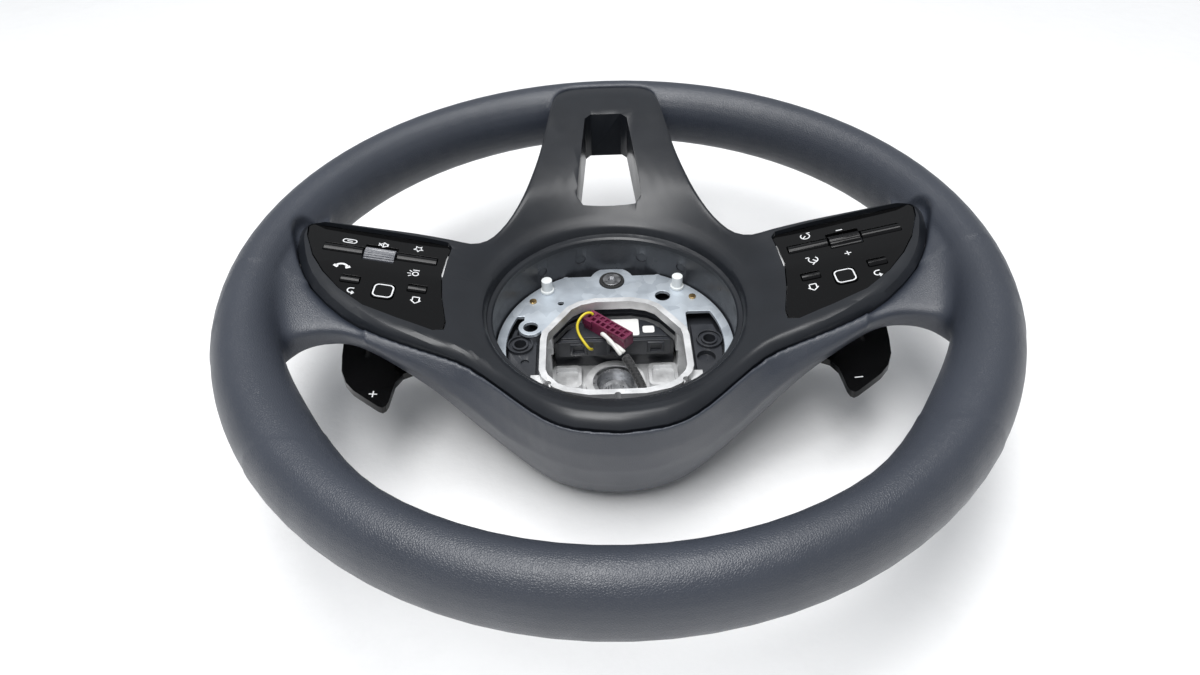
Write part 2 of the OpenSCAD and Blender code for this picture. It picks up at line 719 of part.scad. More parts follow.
// Cover behind the lower spoke, open above and pierced by the slot
LOWER_COVER_HALF = [[0, 79], [41, 79], [39.5, 91], [36.5, 105], [34.2, 118], [32.2, 131], [30.4, 144],
    [28.6, 154], [0, 154]];
module lower_cover_plan(grow = 0) {
    offset(delta = grow) polygon(mirrored_loop(LOWER_COVER_HALF));
}
module lower_spoke_cover() {
    color("#2b2d30")
        difference() {
            intersection() {
                translate([0, 0, rim_z - 60]) linear_extrude(70) lower_cover_plan();
                spoke_slab(-2.5, 12);
            }
            intersection() {
                translate([0, 0, rim_z - 60]) linear_extrude(80) lower_cover_plan(-2);
                spoke_slab(-0.3, 40);
            }
            translate([0, 0, rim_z - 61]) linear_extrude(90) slot_plan(slot_wall + 0.3);
            // Ways in and out for the two lower arms
            translate([-34, 70, rim_z - 45]) cube([68, 14, 60]);
            for (side = [LEFT, RIGHT]) on_side(side) lower_arm(core_clear);
        }
}

// Rear cover: bowl behind the hub and side spokes, with walls up to the trim's lower edge
module cover_plan(grow = 0) {
    offset(delta = grow) polygon(mirrored_loop(COVER_HALF));
}
module bowl_shell() {
    rotate_extrude($fn = 120)
        polygon(concat(
            BOWL,
            [for (k = [len(BOWL) - 1:-1:0]) [BOWL[k][0] - (k > 1 ? 1 : 0), BOWL[k][1] + bowl_t]]
        ));
}
module rear_cover() {
    color("#2b2d30")
        difference() {
            union() {
                intersection() {
                    bowl_shell();
                    translate([0, 0, -1]) linear_extrude(rim_z) cover_plan();
                }
                for (a = COVER_SCREWS)
                    rotate([0, 0, a]) translate([cover_screw_at, 0, 1])
                        cylinder(r = cover_screw_head_r + 2, h = deck_bottom - 1.3, $fn = 32);
                // Wall towards the windows and the lower spoke
                difference() {
                    intersection() {
                        linear_extrude(cover_top) cover_plan();
                        translate([-130, 30, 0]) cube([260, 60, cover_top]);
                    }
                    translate([0, 0, -1]) linear_extrude(cover_top + 2) cover_plan(-cover_wall);
                    rotate_extrude($fn = 120)
                        polygon(concat(
                            [[0, -1]], [for (p = BOWL) if (p[0] > rest_r) [p[0] + 0.01, p[1] - 0.01]],
                            [[150, rim_z], [150, -1]]
                        ));
                }
            }
            // The paddles pass through the bowl under the side spokes
            for (side = [LEFT, RIGHT])
                on_side(side)
                    translate([paddle_window_x[0], paddle_arm_y[0] - 2, 30])
                        cube([
                            paddle_window_x[1] - paddle_window_x[0],
                            paddle_arm_y[1] - paddle_arm_y[0] + 3.5, 40
                        ]);
            for (a = COVER_SCREWS)
                rotate([0, 0, a]) translate([cover_screw_at, 0, -1]) {
                    cylinder(r = cover_screw_head_r + 0.3, h = cover_head_top + 1.05, $fn = 32);
                    cylinder(r = cover_screw_core_r + 0.25, h = 20, $fn = 24);
                }
            // The lower arms leave the hub through two windows
            for (side = [LEFT, RIGHT])
                on_side(side)
                    translate([lower_arm_x[0] - 1.5, 66, 26])
                        cube([lower_arm_x[1] - lower_arm_x[0] + 3, 14, 60]);
        }
}

// Three pan-head screws that hold the rear cover to the hub deck
module rear_cover_screws() {
    color("#55585c")
        for (a = COVER_SCREWS)
            rotate([0, 0, a])
                translate([cover_screw_at, 0, 0])
                    difference() {
                        union() {
                            translate([0, 0, cover_head_top - 2.4]) cylinder(r = cover_screw_head_r, h = 2.4, $fn = 32);
                            translate([0, 0, cover_head_top - 0.1])
                                cylinder(r = cover_screw_core_r - 0.03, h = deck_top - cover_head_top - 0.4, $fn = 24);
                        }
                        translate([0, 0, cover_head_top - 3]) cylinder(r = 1.8, h = 1.8, $fn = 6);
                    }
}

// Moulded well of the hub: wall below the opening and a floor ring on the frame's ledge
liner_in_r = plate_r + 0.8;
liner_t = 2;
liner_top = lip_z - trim_t - 0.4;
floor_z = frame_ledge_top + 0.1;
floor_t = 2;
module hub_liner() {
    color("#26282b")
        difference() {
            translate([0, 0, floor_z]) cylinder(r = liner_in_r + liner_t, h = liner_top - floor_z, $fn = 120);
            translate([0, 0, floor_z + floor_t]) cylinder(r = liner_in_r, h = 60, $fn = 120);
            translate([0, 0, floor_z - 1])
                linear_extrude(10) {
                    frame_plan(0.5);
                    for (side = [LEFT, RIGHT])
                        on_side(side) translate(frame_tab_at) square(frame_tab_size + [1, 1], center = true);
                }
            // Round marks left by the mould's pins
            for (a = [52, 74, 106, 128])
                rotate([0, 0, a]) translate([liner_in_r - 0.5, 0, floor_z + 20])
                    rotate([0, 90, 0]) cylinder(r = 3, h = 1, $fn = 32);
            translate([plate_ear[0], plate_ear[1], floor_z - 1]) cylinder(r = 6.6, h = 10, $fn = 32);
        }
}

// Steel plate that the airbag latches to: a horseshoe with an ear for its screw
module plate_plan() {
    difference() {
        union() {
            difference() {
                intersection() {
                    circle(plate_r, $fn = 120);
                    translate([-plate_r, plate_foot_y])
                        square([2 * plate_r, plate_chord_y - plate_foot_y]);
                }
                intersection() {
                    circle(plate_r - plate_arm_w, $fn = 120);
                    translate([-plate_r, -plate_r]) square([2 * plate_r, plate_r]);
                }
                // Inside its arms the plate is open over the two socket carriers
                for (side = [-1, 1])
                    intersection() {
                        circle(plate_r - plate_arm_w, $fn = 120);
                        translate([side * (carrier_x + 19.5), plate_arm_y - 30])
                            offset(2, $fn = 24) square([40, 56], center = true);
                    }
            }
            intersection() {
                translate(plate_ear) circle(plate_ear_r, $fn = 64);
                circle(plate_r + 0.5, $fn = 120);
            }
            for (side = [-1, 1])
                translate([side * 26, plate_chord_y - 1.2]) circle(1.8, $fn = 24);
            // Lug round the hole on one side
            translate([-plate_hole[0], plate_hole[1]]) circle(plate_hole_r + 2.6, $fn = 40);
            translate([-plate_hole[0] - 3.6, plate_hole[1]])
                square([plate_hole_r + 6, plate_arm_y - plate_hole[1] + 2]);
        }
        frame_plan(plate_frame_gap);
        translate([-28.7, 33.2]) circle(1.7, $fn = 24);
        translate([-plate_hole[0], plate_hole[1]]) circle(plate_hole_r, $fn = 40);
        translate([27.7, 37]) circle(4.2, $fn = 40);
        translate(plate_ear) circle(damper_r + 0.1, $fn = 48);
        for (side = [-1, 1]) {
            translate([side * post_at[0], post_at[1]]) circle(post_r - 0.8 + 0.03, $fn = 32);
            translate([side * rivet_at[0], rivet_at[1]]) circle(1.33, $fn = 24);
        }
    }
}
module airbag_plate() {
    color("#aab4bd")
        translate([0, 0, plate_top - plate_t]) linear_extrude(plate_t) plate_plan();
}
// Rubber ring between the plate and its screw
module plate_damper() {
    color("#1a1a1a")
        translate([plate_ear[0], plate_ear[1], damper_low])
            difference() {
                cylinder(r = damper_r, h = damper_high - damper_low, $fn = 48);
                translate([0, 0, -1]) cylinder(r = plate_screw_r + 0.4, h = 20, $fn = 32);
                translate([0, 0, damper_high - damper_low - 1.9])
                    cylinder(r = screw_head_r + 0.1, h = 5, $fn = 48);
            }
}
// Screw of the plate, its head sunk in the ring
module plate_screw() {
    color("#8d9298")
        translate([plate_ear[0], plate_ear[1], 0])
            difference() {
                union() {
                    translate([0, 0, damper_high - 1.8]) cylinder(r = screw_head_r, h = 2.2, $fn = 48);
                    translate([0, 0, frame_ledge_bottom + 1])
                        cylinder(r = plate_screw_r, h = damper_high - frame_ledge_bottom - 2, $fn = 32);
                }
                translate([0, 0, damper_high - 0.8]) cylinder(r = 2.2, h = 3, $fn = 6);
            }
}
module plate_rivets() {
    color("#b08d4f")
        for (side = [-1, 1])
            translate([side * rivet_at[0], rivet_at[1], 0]) {
                translate([0, 0, plate_top - plate_t]) cylinder(r = 1.3, h = plate_t + 0.1, $fn = 24);
                translate([0, 0, plate_top + 0.05]) cylinder(r = 2, h = 0.9, $fn = 24);
            }
}
// White plastic posts that guide the airbag down on to the plate
module guide_posts() {
    color("#d7dad8")
        for (side = [-1, 1])
            translate([side * post_at[0], post_at[1], 0]) {
                translate([0, 0, plate_top - plate_t]) cylinder(r = post_r - 0.8, h = plate_t + 0.1, $fn = 32);
                translate([0, 0, plate_top + 0.05]) cylinder(r = post_r + 0.8, h = 1.6, $fn = 32);
                translate([0, 0, plate_top + 1.6]) cylinder(r = post_r, h = post_h - 1.6, $fn = 32);
            }
}

// Plastic carrier on each side with the sockets that take the airbag's spring pins
module carrier_plan(side) {
    difference() {
        intersection() {
            circle(plate_r - plate_arm_w - 1, $fn = 96);
            translate([carrier_x, carrier_bottom_y]) square([20, 17 - carrier_bottom_y]);
        }
        if (side == RIGHT) translate(plate_hole) circle(plate_hole_r + 3.6, $fn = 40);
        translate(frame_tab_at) square(frame_tab_size + [1, 1], center = true);
    }
}
module socket_carrier(side) {
    color("#1d1e20")
        on_side(side)
            translate([0, 0, floor_z + floor_t + 0.1])
                difference() {
                    union() {
                        linear_extrude(4.2) carrier_plan(side);
                        translate([socket_at[0], socket_at[1], 0]) cylinder(r = socket_ring_r, h = 6, $fn = 48);
                    }
                    translate([socket_at[0], socket_at[1], -1]) cylinder(r = socket_r, h = 10, $fn = 48);
                    translate([socket_at[0], socket_at[1], 4.6])
                        difference() {
                            cylinder(r = socket_ring_r - 0.8, h = 5, $fn = 48);
                            translate([0, 0, -1]) cylinder(r = socket_r + 1.1, h = 10, $fn = 48);
                        }
                    // Second pocket, deep on the left and a small blind one on the right
                    translate([47.2, -8.4, side == LEFT ? 1 : 3])
                        cylinder(r = side == LEFT ? 4.8 : 2.2, h = 10, $fn = 40);
                }
}

// Electronics box on the hub deck, behind the boss; its lid rises inside the frame
module_low = deck_top + 0.1;
module_face_low = 24.5;
module_top = rim_z - 52;
module_foot_y = 17;
module_front_y = 11.8;
module_back_y = 39.5;
module_half_x = 33;
MODULE_CLIPS = [-24, -4, 18];
clip_size = [9, 1.2, 8];
module control_module() {
    color("#17181a")
        difference() {
            union() {
                translate([-module_half_x, module_foot_y, module_low])
                    cube([
                        2 * module_half_x, module_back_y - module_foot_y,
                        frame_ledge_bottom - 0.4 - module_low
                    ]);
                intersection() {
                    translate([-module_half_x, module_front_y, module_face_low])
                        cube([
                            2 * module_half_x, module_back_y - module_front_y, module_top - module_face_low
                        ]);
                    linear_extrude(module_top + 1) frame_plan(-frame_wall - 0.5);
                }
                // Snap ribs on its front
                for (x = MODULE_CLIPS)
                    translate([x, module_front_y - clip_size[1], module_face_low + 1.5])
                        cube([clip_size[0], clip_size[1] + 1, clip_size[2]]);
            }
            for (x = MODULE_CLIPS)
                translate([x + 1.5, module_front_y - 3, module_face_low + 3])
                    cube([clip_size[0] - 3, 3.4, clip_size[2] - 3]);
            // Shallow step along the lid's front edge
            translate([-module_half_x, module_front_y - 1, module_top - 1.2])
                cube([2 * module_half_x, 3, 3]);
        }
}

// Multi-way plug on the end of the harness, lying across the box
plug_size = [29, 7.6, 7.4];
plug_at = [-3.2, 15.9, module_top + 0.1];
plug_turn = -43;
plug_cell = 3.4;
plug_latch = [6.4, 1.2, 2];
module connector() {
    color("#5a1730")
        translate(plug_at)
            rotate([0, 0, plug_turn])
                difference() {
                    union() {
                        translate([-plug_size[0] / 2, -plug_size[1] / 2, 0]) cube(plug_size);
                        // Latch on its near face, by the end where the wires leave
                        translate([-plug_size[0] / 2, -plug_size[1] / 2 - plug_latch[1], plug_size[2] - 4])
                            cube([plug_latch[0], plug_latch[1] + 1, 4]);
                    }
                    // Cells for the contacts, in two rows
                    for (i = [0:6]) {
                        translate([plug_cell * i - plug_size[0] / 2 + 4.6, -2.9, plug_size[2] - 2.5])
                            cube([2.2, 2.4, 3]);
                        translate([plug_cell * i - plug_size[0] / 2 + 4.6, 0.5, plug_size[2] - 1.2])
                            cube([2.2, 2.4, 3]);
                    }
                    translate([-plug_size[0] / 2 + 1.4, -2.2, plug_size[2] - plug_latch[2]])
                        cube([1.6, 4.4, 3]);
                }
}

// A wire or sleeve swept along its route
function route_dir(pts, i) = unit(pts[min(len(pts) - 1, i + 1)] - pts[max(0, i - 1)]);
module swept(pts, r, sides = 8) {
    line = smooth_line(pts, 3);
    loft([
        for (i = [0:len(line) - 1])
            let (
                d = route_dir(line, i),
                across = unit(cross(d, abs(d[2]) > 0.9 ? [1, 0, 0] : [0, 0, 1])),
                up = cross(across, d)
            )
            [for (k = [0:sides - 1]) line[i] + r * (cos(360 * k / sides) * across + sin(360 * k / sides) * up)]
    ]);
}
YELLOW_ROUTE = [[-11.2, 23.4, 44.1], [-12, 23.6, 45.4], [-15, 22.4, 46.2], [-18, 20, 45],
    [-19.8, 17.4, 42], [-19, 14.2, 38.6], [-16, 10.4, 35.4], [-13.6, 8.6, 32.8], [-12, 11, 30.2]];
WHITE_ROUTE = [[-5.8, 11.6, 39.8], [-6.5, 10.9, 41.2], [-5.2, 8.4, 42.2], [-1.8, 4.2, 41.2],
    [1.2, 0.5, 38.9], [3.2, -1.4, 36.8]];
SECOND_ROUTE = [[-2.5, 9, 39], [-3.3, 8.2, 39.1], [-2.3, 6.4, 39], [1, 3.6, 38.6], [3.4, 1.8, 37.6],
    [5.1, 0.5, 36.6]];
SLEEVE_ROUTE = [[4.8, -1, 36], [7.2, -3.5, 33.6], [10.2, -7.6, 29.6], [13.2, -12.2, 25.2],
    [15.2, -17.6, 21.4], [15.9, -23, 18], [15.6, -27.4, 14], [15, -29, 9.5], [15, -29, 4]];
wire_r = 0.8;
lead_r = 1.3;
sleeve_r = 2.6;
module yellow_wire() {
    color("#e2d21f") swept(YELLOW_ROUTE, wire_r);
}
module white_wire() {
    color("#e9e9e6") {
        swept(WHITE_ROUTE, lead_r);
        swept(SECOND_ROUTE, lead_r);
    }
}
module harness_sleeve() {
    color("#161616") swept(SLEEVE_ROUTE, sleeve_r);
}

// Openings of one switch panel, and the pockets under them
module opening_plan(row, grow = 0) {
    translate([row[0], row[1]]) rounded_plan(row[2] + 2 * grow, row[3] + 2 * grow, 1);
}
function pocket_low(row) = row[0] - row[2] / 2 + row[4];
function pocket_high(row) = row[0] + row[2] / 2 - row[5];
module pocket_plan(row) {
    translate([pocket_low(row), row[1] - row[3] / 2]) square([pocket_high(row) - pocket_low(row), row[3]]);
}
module pad_opening() {
    translate([PAD[0], PAD[1]]) rounded_plan(PAD[2], PAD[3], 2.8);
}
module face_openings() {
    for (row = ROCKERS) opening_plan(row);
    opening_plan(ROLLER);
    // The openings of the rockers run on into the roller's
    translate([ROLLER[0], ROLLER[1]]) square([ROLLER[2] + 4, ROCKER_INNER[3]], center = true);
    pad_opening();
}

// The panel's shape with a margin round it, from its underside up to a height over its face
module panel_body(margin, above) {
    intersection() {
        rotate([90, 0, 90])
            linear_extrude(120, center = true)
                polygon([
                    [-40, face_w(-40) + above], [crease_v, above], [40, above], [40, -panel_t - margin],
                    [crease_v, -panel_t - margin], [-40, face_w(-40) - panel_t - margin]
                ]);
        translate([0, 0, -20]) linear_extrude(40) offset(delta = margin) polygon(PANEL_OUTLINE);
    }
}

// Gloss face of a switch panel, bent along its crease
module panel(side) {
    color("#101114")
        on_panel(side)
            difference() {
                panel_body(0, 0);
                translate([0, 0, -20]) linear_extrude(40) face_openings();
            }
}

// Housing under the face, with a pocket and pin holes for every switch
module pin_hole(low, high, v, w, r) {
    translate([low - pin_bite - pin_end_gap, v, w])
        rotate([0, 90, 0]) cylinder(r = r, h = high - low + 2 * (pin_bite + pin_end_gap), $fn = 24);
}
module housing(side) {
    color("#1b1c1f")
        on_panel(side)
            difference() {
                intersection() {
                    translate([0, 0, housing_floor]) linear_extrude(-housing_floor) polygon(HOUSING_OUTLINE);
                    rotate([90, 0, 90])
                        linear_extrude(120, center = true)
                            polygon([
                                [-40, face_w(-40) - panel_t - 0.1], [crease_v, -panel_t - 0.1],
                                [40, -panel_t - 0.1], [40, -20], [-40, -20]
                            ]);
                }
                translate([0, 0, housing_floor - 1])
                    linear_extrude(20) {
                        for (row = ROCKERS) pocket_plan(row);
                        translate([ROLLER[0], ROLLER[1]])
                            square([
                                ROLLER[2] + (side == RIGHT ? 2 * cradle_margin : 0),
                                ROLLER[3] + (side == RIGHT ? 2 * cradle_margin : 0)
                            ], center = true);
                        pad_opening();
                    }
                for (row = ROCKERS)
                    pin_hole(pocket_low(row), pocket_high(row), row[1], pivot_w + face_w(row[1]), pin_r + pin_clear);
                if (side == LEFT)
                    pin_hole(
                        ROLLER[0] - ROLLER[2] / 2, ROLLER[0] + ROLLER[2] / 2, ROLLER[1], roller_w, axle_r + pin_clear
                    );
            }
}

// Silicone mat with two domes under each rocker and one under the pad
module dome(u, v, top, r) {
    translate([u, v, housing_floor - mat_t])
        cylinder(r1 = r, r2 = r - 0.4, h = top - housing_floor + mat_t, $fn = 24);
}
module dome_mat(side) {
    color("#6f7377")
        on_panel(side)
            union() {
                translate([0, 0, housing_floor - mat_t])
                    linear_extrude(mat_t - 0.1)
                        offset(delta = -1) polygon(HOUSING_OUTLINE);
                for (row = ROCKERS, k = [-1, 1])
                    dome(
                        (pocket_low(row) + pocket_high(row)) / 2 + k * row[2] / 5, row[1] + k,
                        pivot_w + face_w(row[1]) - rocker_depth - dome_gap, row[3] / 4
                    );
                dome(PAD[0], PAD[1], face_w(PAD[1]) - pad_depth - pad_travel - 0.2, 1.9);
            }
}
module board(side) {
    color("#1f5a3a")
        on_panel(side)
            translate([0, 0, housing_floor - mat_t - 0.1 - board_t])
                linear_extrude(board_t)
                    intersection() {
                        offset(delta = -1) polygon(HOUSING_OUTLINE);
                        translate([-30, -40]) square([52, 80]);
                    }
}

// Rocker: a body on two pins in its pocket, and a ridged crown that fills the opening
module rocker(side, row) {
    half = row[3] / 2 - rocker_side_gap;
    low = row[0] - row[2] / 2 + rocker_end_gap;
    high = row[0] + row[2] / 2 - rocker_end_gap;
    body_low = low + row[4];
    body_high = high - row[5];
    color("#17181b")
        on_panel(side)
            translate([0, row[1], face_w(row[1])]) {
                translate([body_low, 0, 0])
                    rotate([90, 0, 90])
                        linear_extrude(body_high - body_low)
                            polygon([
                                [-half + 0.5, pivot_w - rocker_depth], [half - 0.5, pivot_w - rocker_depth],
                                [half, -crown_t], [-half, -crown_t]
                            ]);
                translate([low, 0, 0])
                    rotate([90, 0, 90])
                        linear_extrude(high - low)
                            polygon([
                                [-half, -crown_t], [half, -crown_t], [half, -0.4], [half - 0.3, 0.2],
                                [half - 1.2, rocker_proud * 0.75], [0.5, rocker_proud], [-0.5, rocker_proud],
                                [-half + 1.2, rocker_proud * 0.75], [-half + 0.3, 0.2], [-half, -0.4]
                            ]);
                translate([body_low - rocker_end_gap - pin_bite, 0, pivot_w])
                    rotate([0, 90, 0])
                        cylinder(r = pin_r, h = body_high - body_low + 2 * (rocker_end_gap + pin_bite), $fn = 24);
            }
}
module roller(side, grooves) {
    on_panel(side)
        translate([ROLLER[0], ROLLER[1], roller_w])
            rotate([0, 90, 0]) {
                linear_extrude(ROLLER[2] - 2 * roller_end_gap, center = true)
                    polygon([
                        for (i = [0:grooves - 1], k = [0, 1, 2, 3])
                            let (
                                a = 360 / grooves * (i + [0.05, 0.3, 0.55, 0.8][k]),
                                r = roller_r - (k < 2 ? 0 : 0.35)
                            )
                            [r * cos(a), r * sin(a)]
                    ]);
                cylinder(r = axle_r, h = ROLLER[2] + 2 * pin_bite, center = true, $fn = 24);
            }
}
// Cradle that lets the volume roller be pressed as well as turned
module cradle() {
    color("#26282b")
        on_panel(RIGHT)
            translate([ROLLER[0], ROLLER[1], 0])
                difference() {
                    translate([
                        -ROLLER[2] / 2 - cradle_margin + cradle_gap, -ROLLER[3] / 2 - cradle_margin + cradle_gap,
                        housing_floor + cradle_travel + 0.3
                    ])
                        cube([
                            ROLLER[2] + 2 * (cradle_margin - cradle_gap), ROLLER[3] + 2 * (cradle_margin - cradle_gap),
                            cradle_top - housing_floor - cradle_travel - 0.3
                        ]);
                    translate([0, 0, cradle_base + 10])
                        cube([ROLLER[2] - 0.4, ROLLER[3] - 0.2, 20], center = true);
                    translate([0, 0, roller_w])
                        rotate([0, 90, 0]) cylinder(r = axle_r + pin_clear, h = 40, center = true, $fn = 24);
                }
}
module touch_pad(side) {
    color("#101114")
        on_panel(side)
            translate([PAD[0], PAD[1], face_w(PAD[1])]) {
                translate([0, 0, -pad_depth + 1])
                    linear_extrude(pad_depth - 0.7) rounded_plan(pad_side, pad_side, 2.6);
                translate([0, 0, -pad_depth]) cylinder(r = 2, h = 2, $fn = 24);
            }
}

// Shift paddle: blade, arm and barrel in one moulding
module paddle(side) {
    color("#121316")
        on_side(side)
            difference() {
                union() {
                    translate([paddle_pivot[0], 0, paddle_pivot[1]])
                        rotate([0, -paddle_slope, 0])
                            translate([-paddle_pivot[0], 0, -paddle_t / 2])
                                linear_extrude(paddle_t) polygon(PADDLE_PLAN);
                    translate([paddle_pivot[0], paddle_arm_y[1] + 0.2, paddle_pivot[1]])
                        rotate([90, 0, 0])
                            cylinder(r = 4, h = paddle_arm_y[1] - paddle_arm_y[0] + 0.4, $fn = 40);
                }
                translate([paddle_pivot[0], 20, paddle_pivot[1]])
                    rotate([90, 0, 0]) cylinder(r = paddle_pin_r + paddle_pin_clear, h = 60, $fn = 32);
            }
}
bracket_cheek = 2.8;
module paddle_bracket(side) {
    y_near = paddle_arm_y[0] - 0.6 - bracket_cheek;
    y_far = side_arm_y[0] - 0.1;
    color("#3a3c3f")
        on_side(side)
            difference() {
                union() {
                    for (y = [y_near + bracket_cheek, y_far])
                        translate([paddle_pivot[0], y, paddle_pivot[1]]) rotate([90, 0, 0]) {
                            cylinder(r = 5, h = bracket_cheek, $fn = 40);
                            translate([-5, 0, 0]) cube([10, 13, bracket_cheek]);
                        }
                    translate([paddle_pivot[0] - 5, y_near, paddle_pivot[1] + 10])
                        cube([10, y_far - y_near, 3]);
                }
                translate([paddle_pivot[0], 20, paddle_pivot[1]])
                    rotate([90, 0, 0]) cylinder(r = paddle_pin_r + 0.02, h = 60, $fn = 32);
            }
}
module paddle_pin(side) {
    y_near = paddle_arm_y[0] - 0.6 - bracket_cheek;
    y_far = side_arm_y[0] - 0.3;
    color("#c8cacc")
        on_side(side)
            translate([paddle_pivot[0], y_far, paddle_pivot[1]])
                rotate([90, 0, 0]) cylinder(r = paddle_pin_r, h = y_far - y_near, $fn = 32);
}

rim_core();
spoke_arms();
hub_frame();
armature();
hub_insert();
trim_bezel();
lower_spoke_cover();
rear_cover();
rear_cover_screws();
hub_liner();
airbag_plate();
plate_screw();
plate_damper();
plate_rivets();
guide_posts();
socket_carrier(LEFT);  // socket_carrier_left
socket_carrier(RIGHT);  // socket_carrier_right
control_module();
connector();
yellow_wire();
white_wire();
harness_sleeve();
panel(LEFT);  // panel_left
panel(RIGHT);  // panel_right
housing(LEFT);  // housing_left
housing(RIGHT);  // housing_right
dome_mat(LEFT);  // dome_mat_left
dome_mat(RIGHT);  // dome_mat_right
board(LEFT);  // board_left
board(RIGHT);  // board_right
rocker(LEFT, ROCKER_INNER);  // rocker_inner_left
rocker(RIGHT, ROCKER_INNER);  // rocker_inner_right
rocker(LEFT, ROCKER_OUTER);  // rocker_outer_left
rocker(RIGHT, ROCKER_OUTER);  // rocker_outer_right
rocker(LEFT, KEY_INNER);  // key_inner_left
rocker(RIGHT, KEY_INNER);  // key_inner_right
rocker(LEFT, KEY_OUTER);  // key_outer_left
rocker(RIGHT, KEY_OUTER);  // key_outer_right
touch_pad(LEFT);  // touch_pad_left
touch_pad(RIGHT);  // touch_pad_right
color("#1b1d21") roller(LEFT, roller_grooves / 2);  // set_roller
color("#8b8f96") roller(RIGHT, roller_grooves);  // volume_roller
cradle();  // volume_cradle
paddle(LEFT);  // paddle_left
paddle(RIGHT);  // paddle_right
paddle_bracket(LEFT);  // paddle_bracket_left
paddle_bracket(RIGHT);  // paddle_bracket_right
paddle_pin(LEFT);  // paddle_pin_left
paddle_pin(RIGHT);  // paddle_pin_right
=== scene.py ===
"""Car steering wheel with its airbag out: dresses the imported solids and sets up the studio."""

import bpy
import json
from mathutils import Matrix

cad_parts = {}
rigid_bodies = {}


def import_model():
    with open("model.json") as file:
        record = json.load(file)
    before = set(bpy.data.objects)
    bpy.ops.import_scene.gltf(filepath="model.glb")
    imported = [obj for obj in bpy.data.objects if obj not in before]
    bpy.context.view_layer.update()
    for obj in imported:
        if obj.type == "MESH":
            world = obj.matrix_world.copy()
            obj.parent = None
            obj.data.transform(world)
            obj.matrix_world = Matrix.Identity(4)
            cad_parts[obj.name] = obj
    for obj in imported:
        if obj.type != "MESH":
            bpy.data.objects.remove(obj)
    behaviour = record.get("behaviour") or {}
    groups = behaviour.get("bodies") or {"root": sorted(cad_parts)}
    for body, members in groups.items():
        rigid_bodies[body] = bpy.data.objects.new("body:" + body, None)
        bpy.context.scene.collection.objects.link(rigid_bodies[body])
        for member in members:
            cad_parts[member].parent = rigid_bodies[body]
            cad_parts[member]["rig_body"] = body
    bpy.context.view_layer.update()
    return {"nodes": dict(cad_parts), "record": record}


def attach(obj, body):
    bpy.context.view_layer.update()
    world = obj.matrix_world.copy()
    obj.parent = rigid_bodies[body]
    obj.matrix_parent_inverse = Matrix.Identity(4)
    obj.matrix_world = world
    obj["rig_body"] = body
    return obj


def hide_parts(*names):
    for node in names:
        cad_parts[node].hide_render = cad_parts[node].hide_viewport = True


bl_info = {
    "name": "Steering wheel dressing",
    "version": (1, 0, 0),
    "blender": (4, 5, 0),
    "location": "3D View > Sidebar > Wheel",
    "description": "Skin, plastics, metals, prints and studio of a steering wheel",
    "category": "Object",
}

import json
import math

import bmesh
import bpy
from bpy.props import FloatProperty, FloatVectorProperty, IntProperty, PointerProperty
from mathutils import Matrix, Vector
from mathutils.bvhtree import BVHTree

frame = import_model()

MM = 0.001
MERGE = 1e-6
WHEEL = "wheel"
INK = "print_white"
LABEL = "label_paper"
# Finishes of the print and of the labels, which aren't slots of the record
INK_THICKNESS = 0.05 * MM
SHINE = "Specular IOR Level"
# A noise between these values drives a finish from its lowest to its highest roughness
NOISE_LOW, NOISE_HIGH = 0.3, 0.7

# Camera: lens and sensor in millimetres, pitch and roll in radians
LENS, SENSOR = 25.5, 36
CAMERA_PITCH, CAMERA_ROLL = 0.735, -0.033
CAMERA_AT = Vector((-0.007731, -0.327976, 0.345039))

# Lamps: name, place, width and watts, all turned to one point of the wheel
LAMPS = (
    ("lamp_key", Vector((-0.25, -0.55, 1.45)), 0.8, 16),
    ("lamp_over", Vector((-0.05, 0.16, 1.6)), 0.9, 14),
)
LAMP_TARGET = Vector((0, 0, 0.06))
SKY_COLOUR, SKY_STRENGTH = (0.93, 0.96, 1.0, 1), 0.5
WHITE = (1, 1, 1, 1)
FLOOR_SIZE = 6

# Hoop that fills the channel of the ring in the rim, with the points round it and along it
HOOP_AT = Vector((0.173, 0, 0.088))
HOOP_R = 0.0122
HOOP_POINTS, HOOP_STEPS = 12, 96
# Passes that take the cells' steps off the skin, and how far each moves a point
SOFTENING = 6
EASE = 0.5
# Where the valleys between rim and side spokes lie: either side's x, y, and the lowest z
VALLEY_X, VALLEY_Y, VALLEY_Z = (0.118, 0.178), (-0.115, 0.0), 0.055

# Flat faces within this angle are joined, and edges sharper than the next one are rounded
FLAT_ANGLE = math.radians(0.4)
ROUNDED_ANGLE, ROUNDED_SEGMENTS = math.radians(30), 2
# Width of the rounding on a piece's edges in millimetres, where it isn't the setting's
EDGE_WIDTHS = {
    "trim_bezel": 0.6, "lower_spoke_cover": 0.5, "rear_cover": 0.5, "rim_core": 0.5,
    "spoke_arms": 0.8, "hub_frame": 1.2, "armature": 0.6, "hub_insert": 0.2,
    "airbag_plate": 0.2, "plate_screw": 0.2, "plate_rivets": 0.2, "connector": 0.2,
    "yellow_wire": 0, "white_wire": 0, "harness_sleeve": 0, "panel": 0.4, "housing": 0.2,
    "dome_mat": 0, "board": 0.1, "touch_pad": 0.4, "set_roller": 0.1, "volume_roller": 0.1,
    "paddle": 0.9, "paddle_pin": 0.1,
}
# Angle in degrees up to which a piece's faces look smooth, and the pieces that have their own
SMOOTH = 35
SMOOTH_ANGLES = {
    "trim_bezel": 40, "yellow_wire": 80, "white_wire": 80, "harness_sleeve": 80,
    "set_roller": 30, "volume_roller": 30,
}
SKIN_SMOOTH = 60

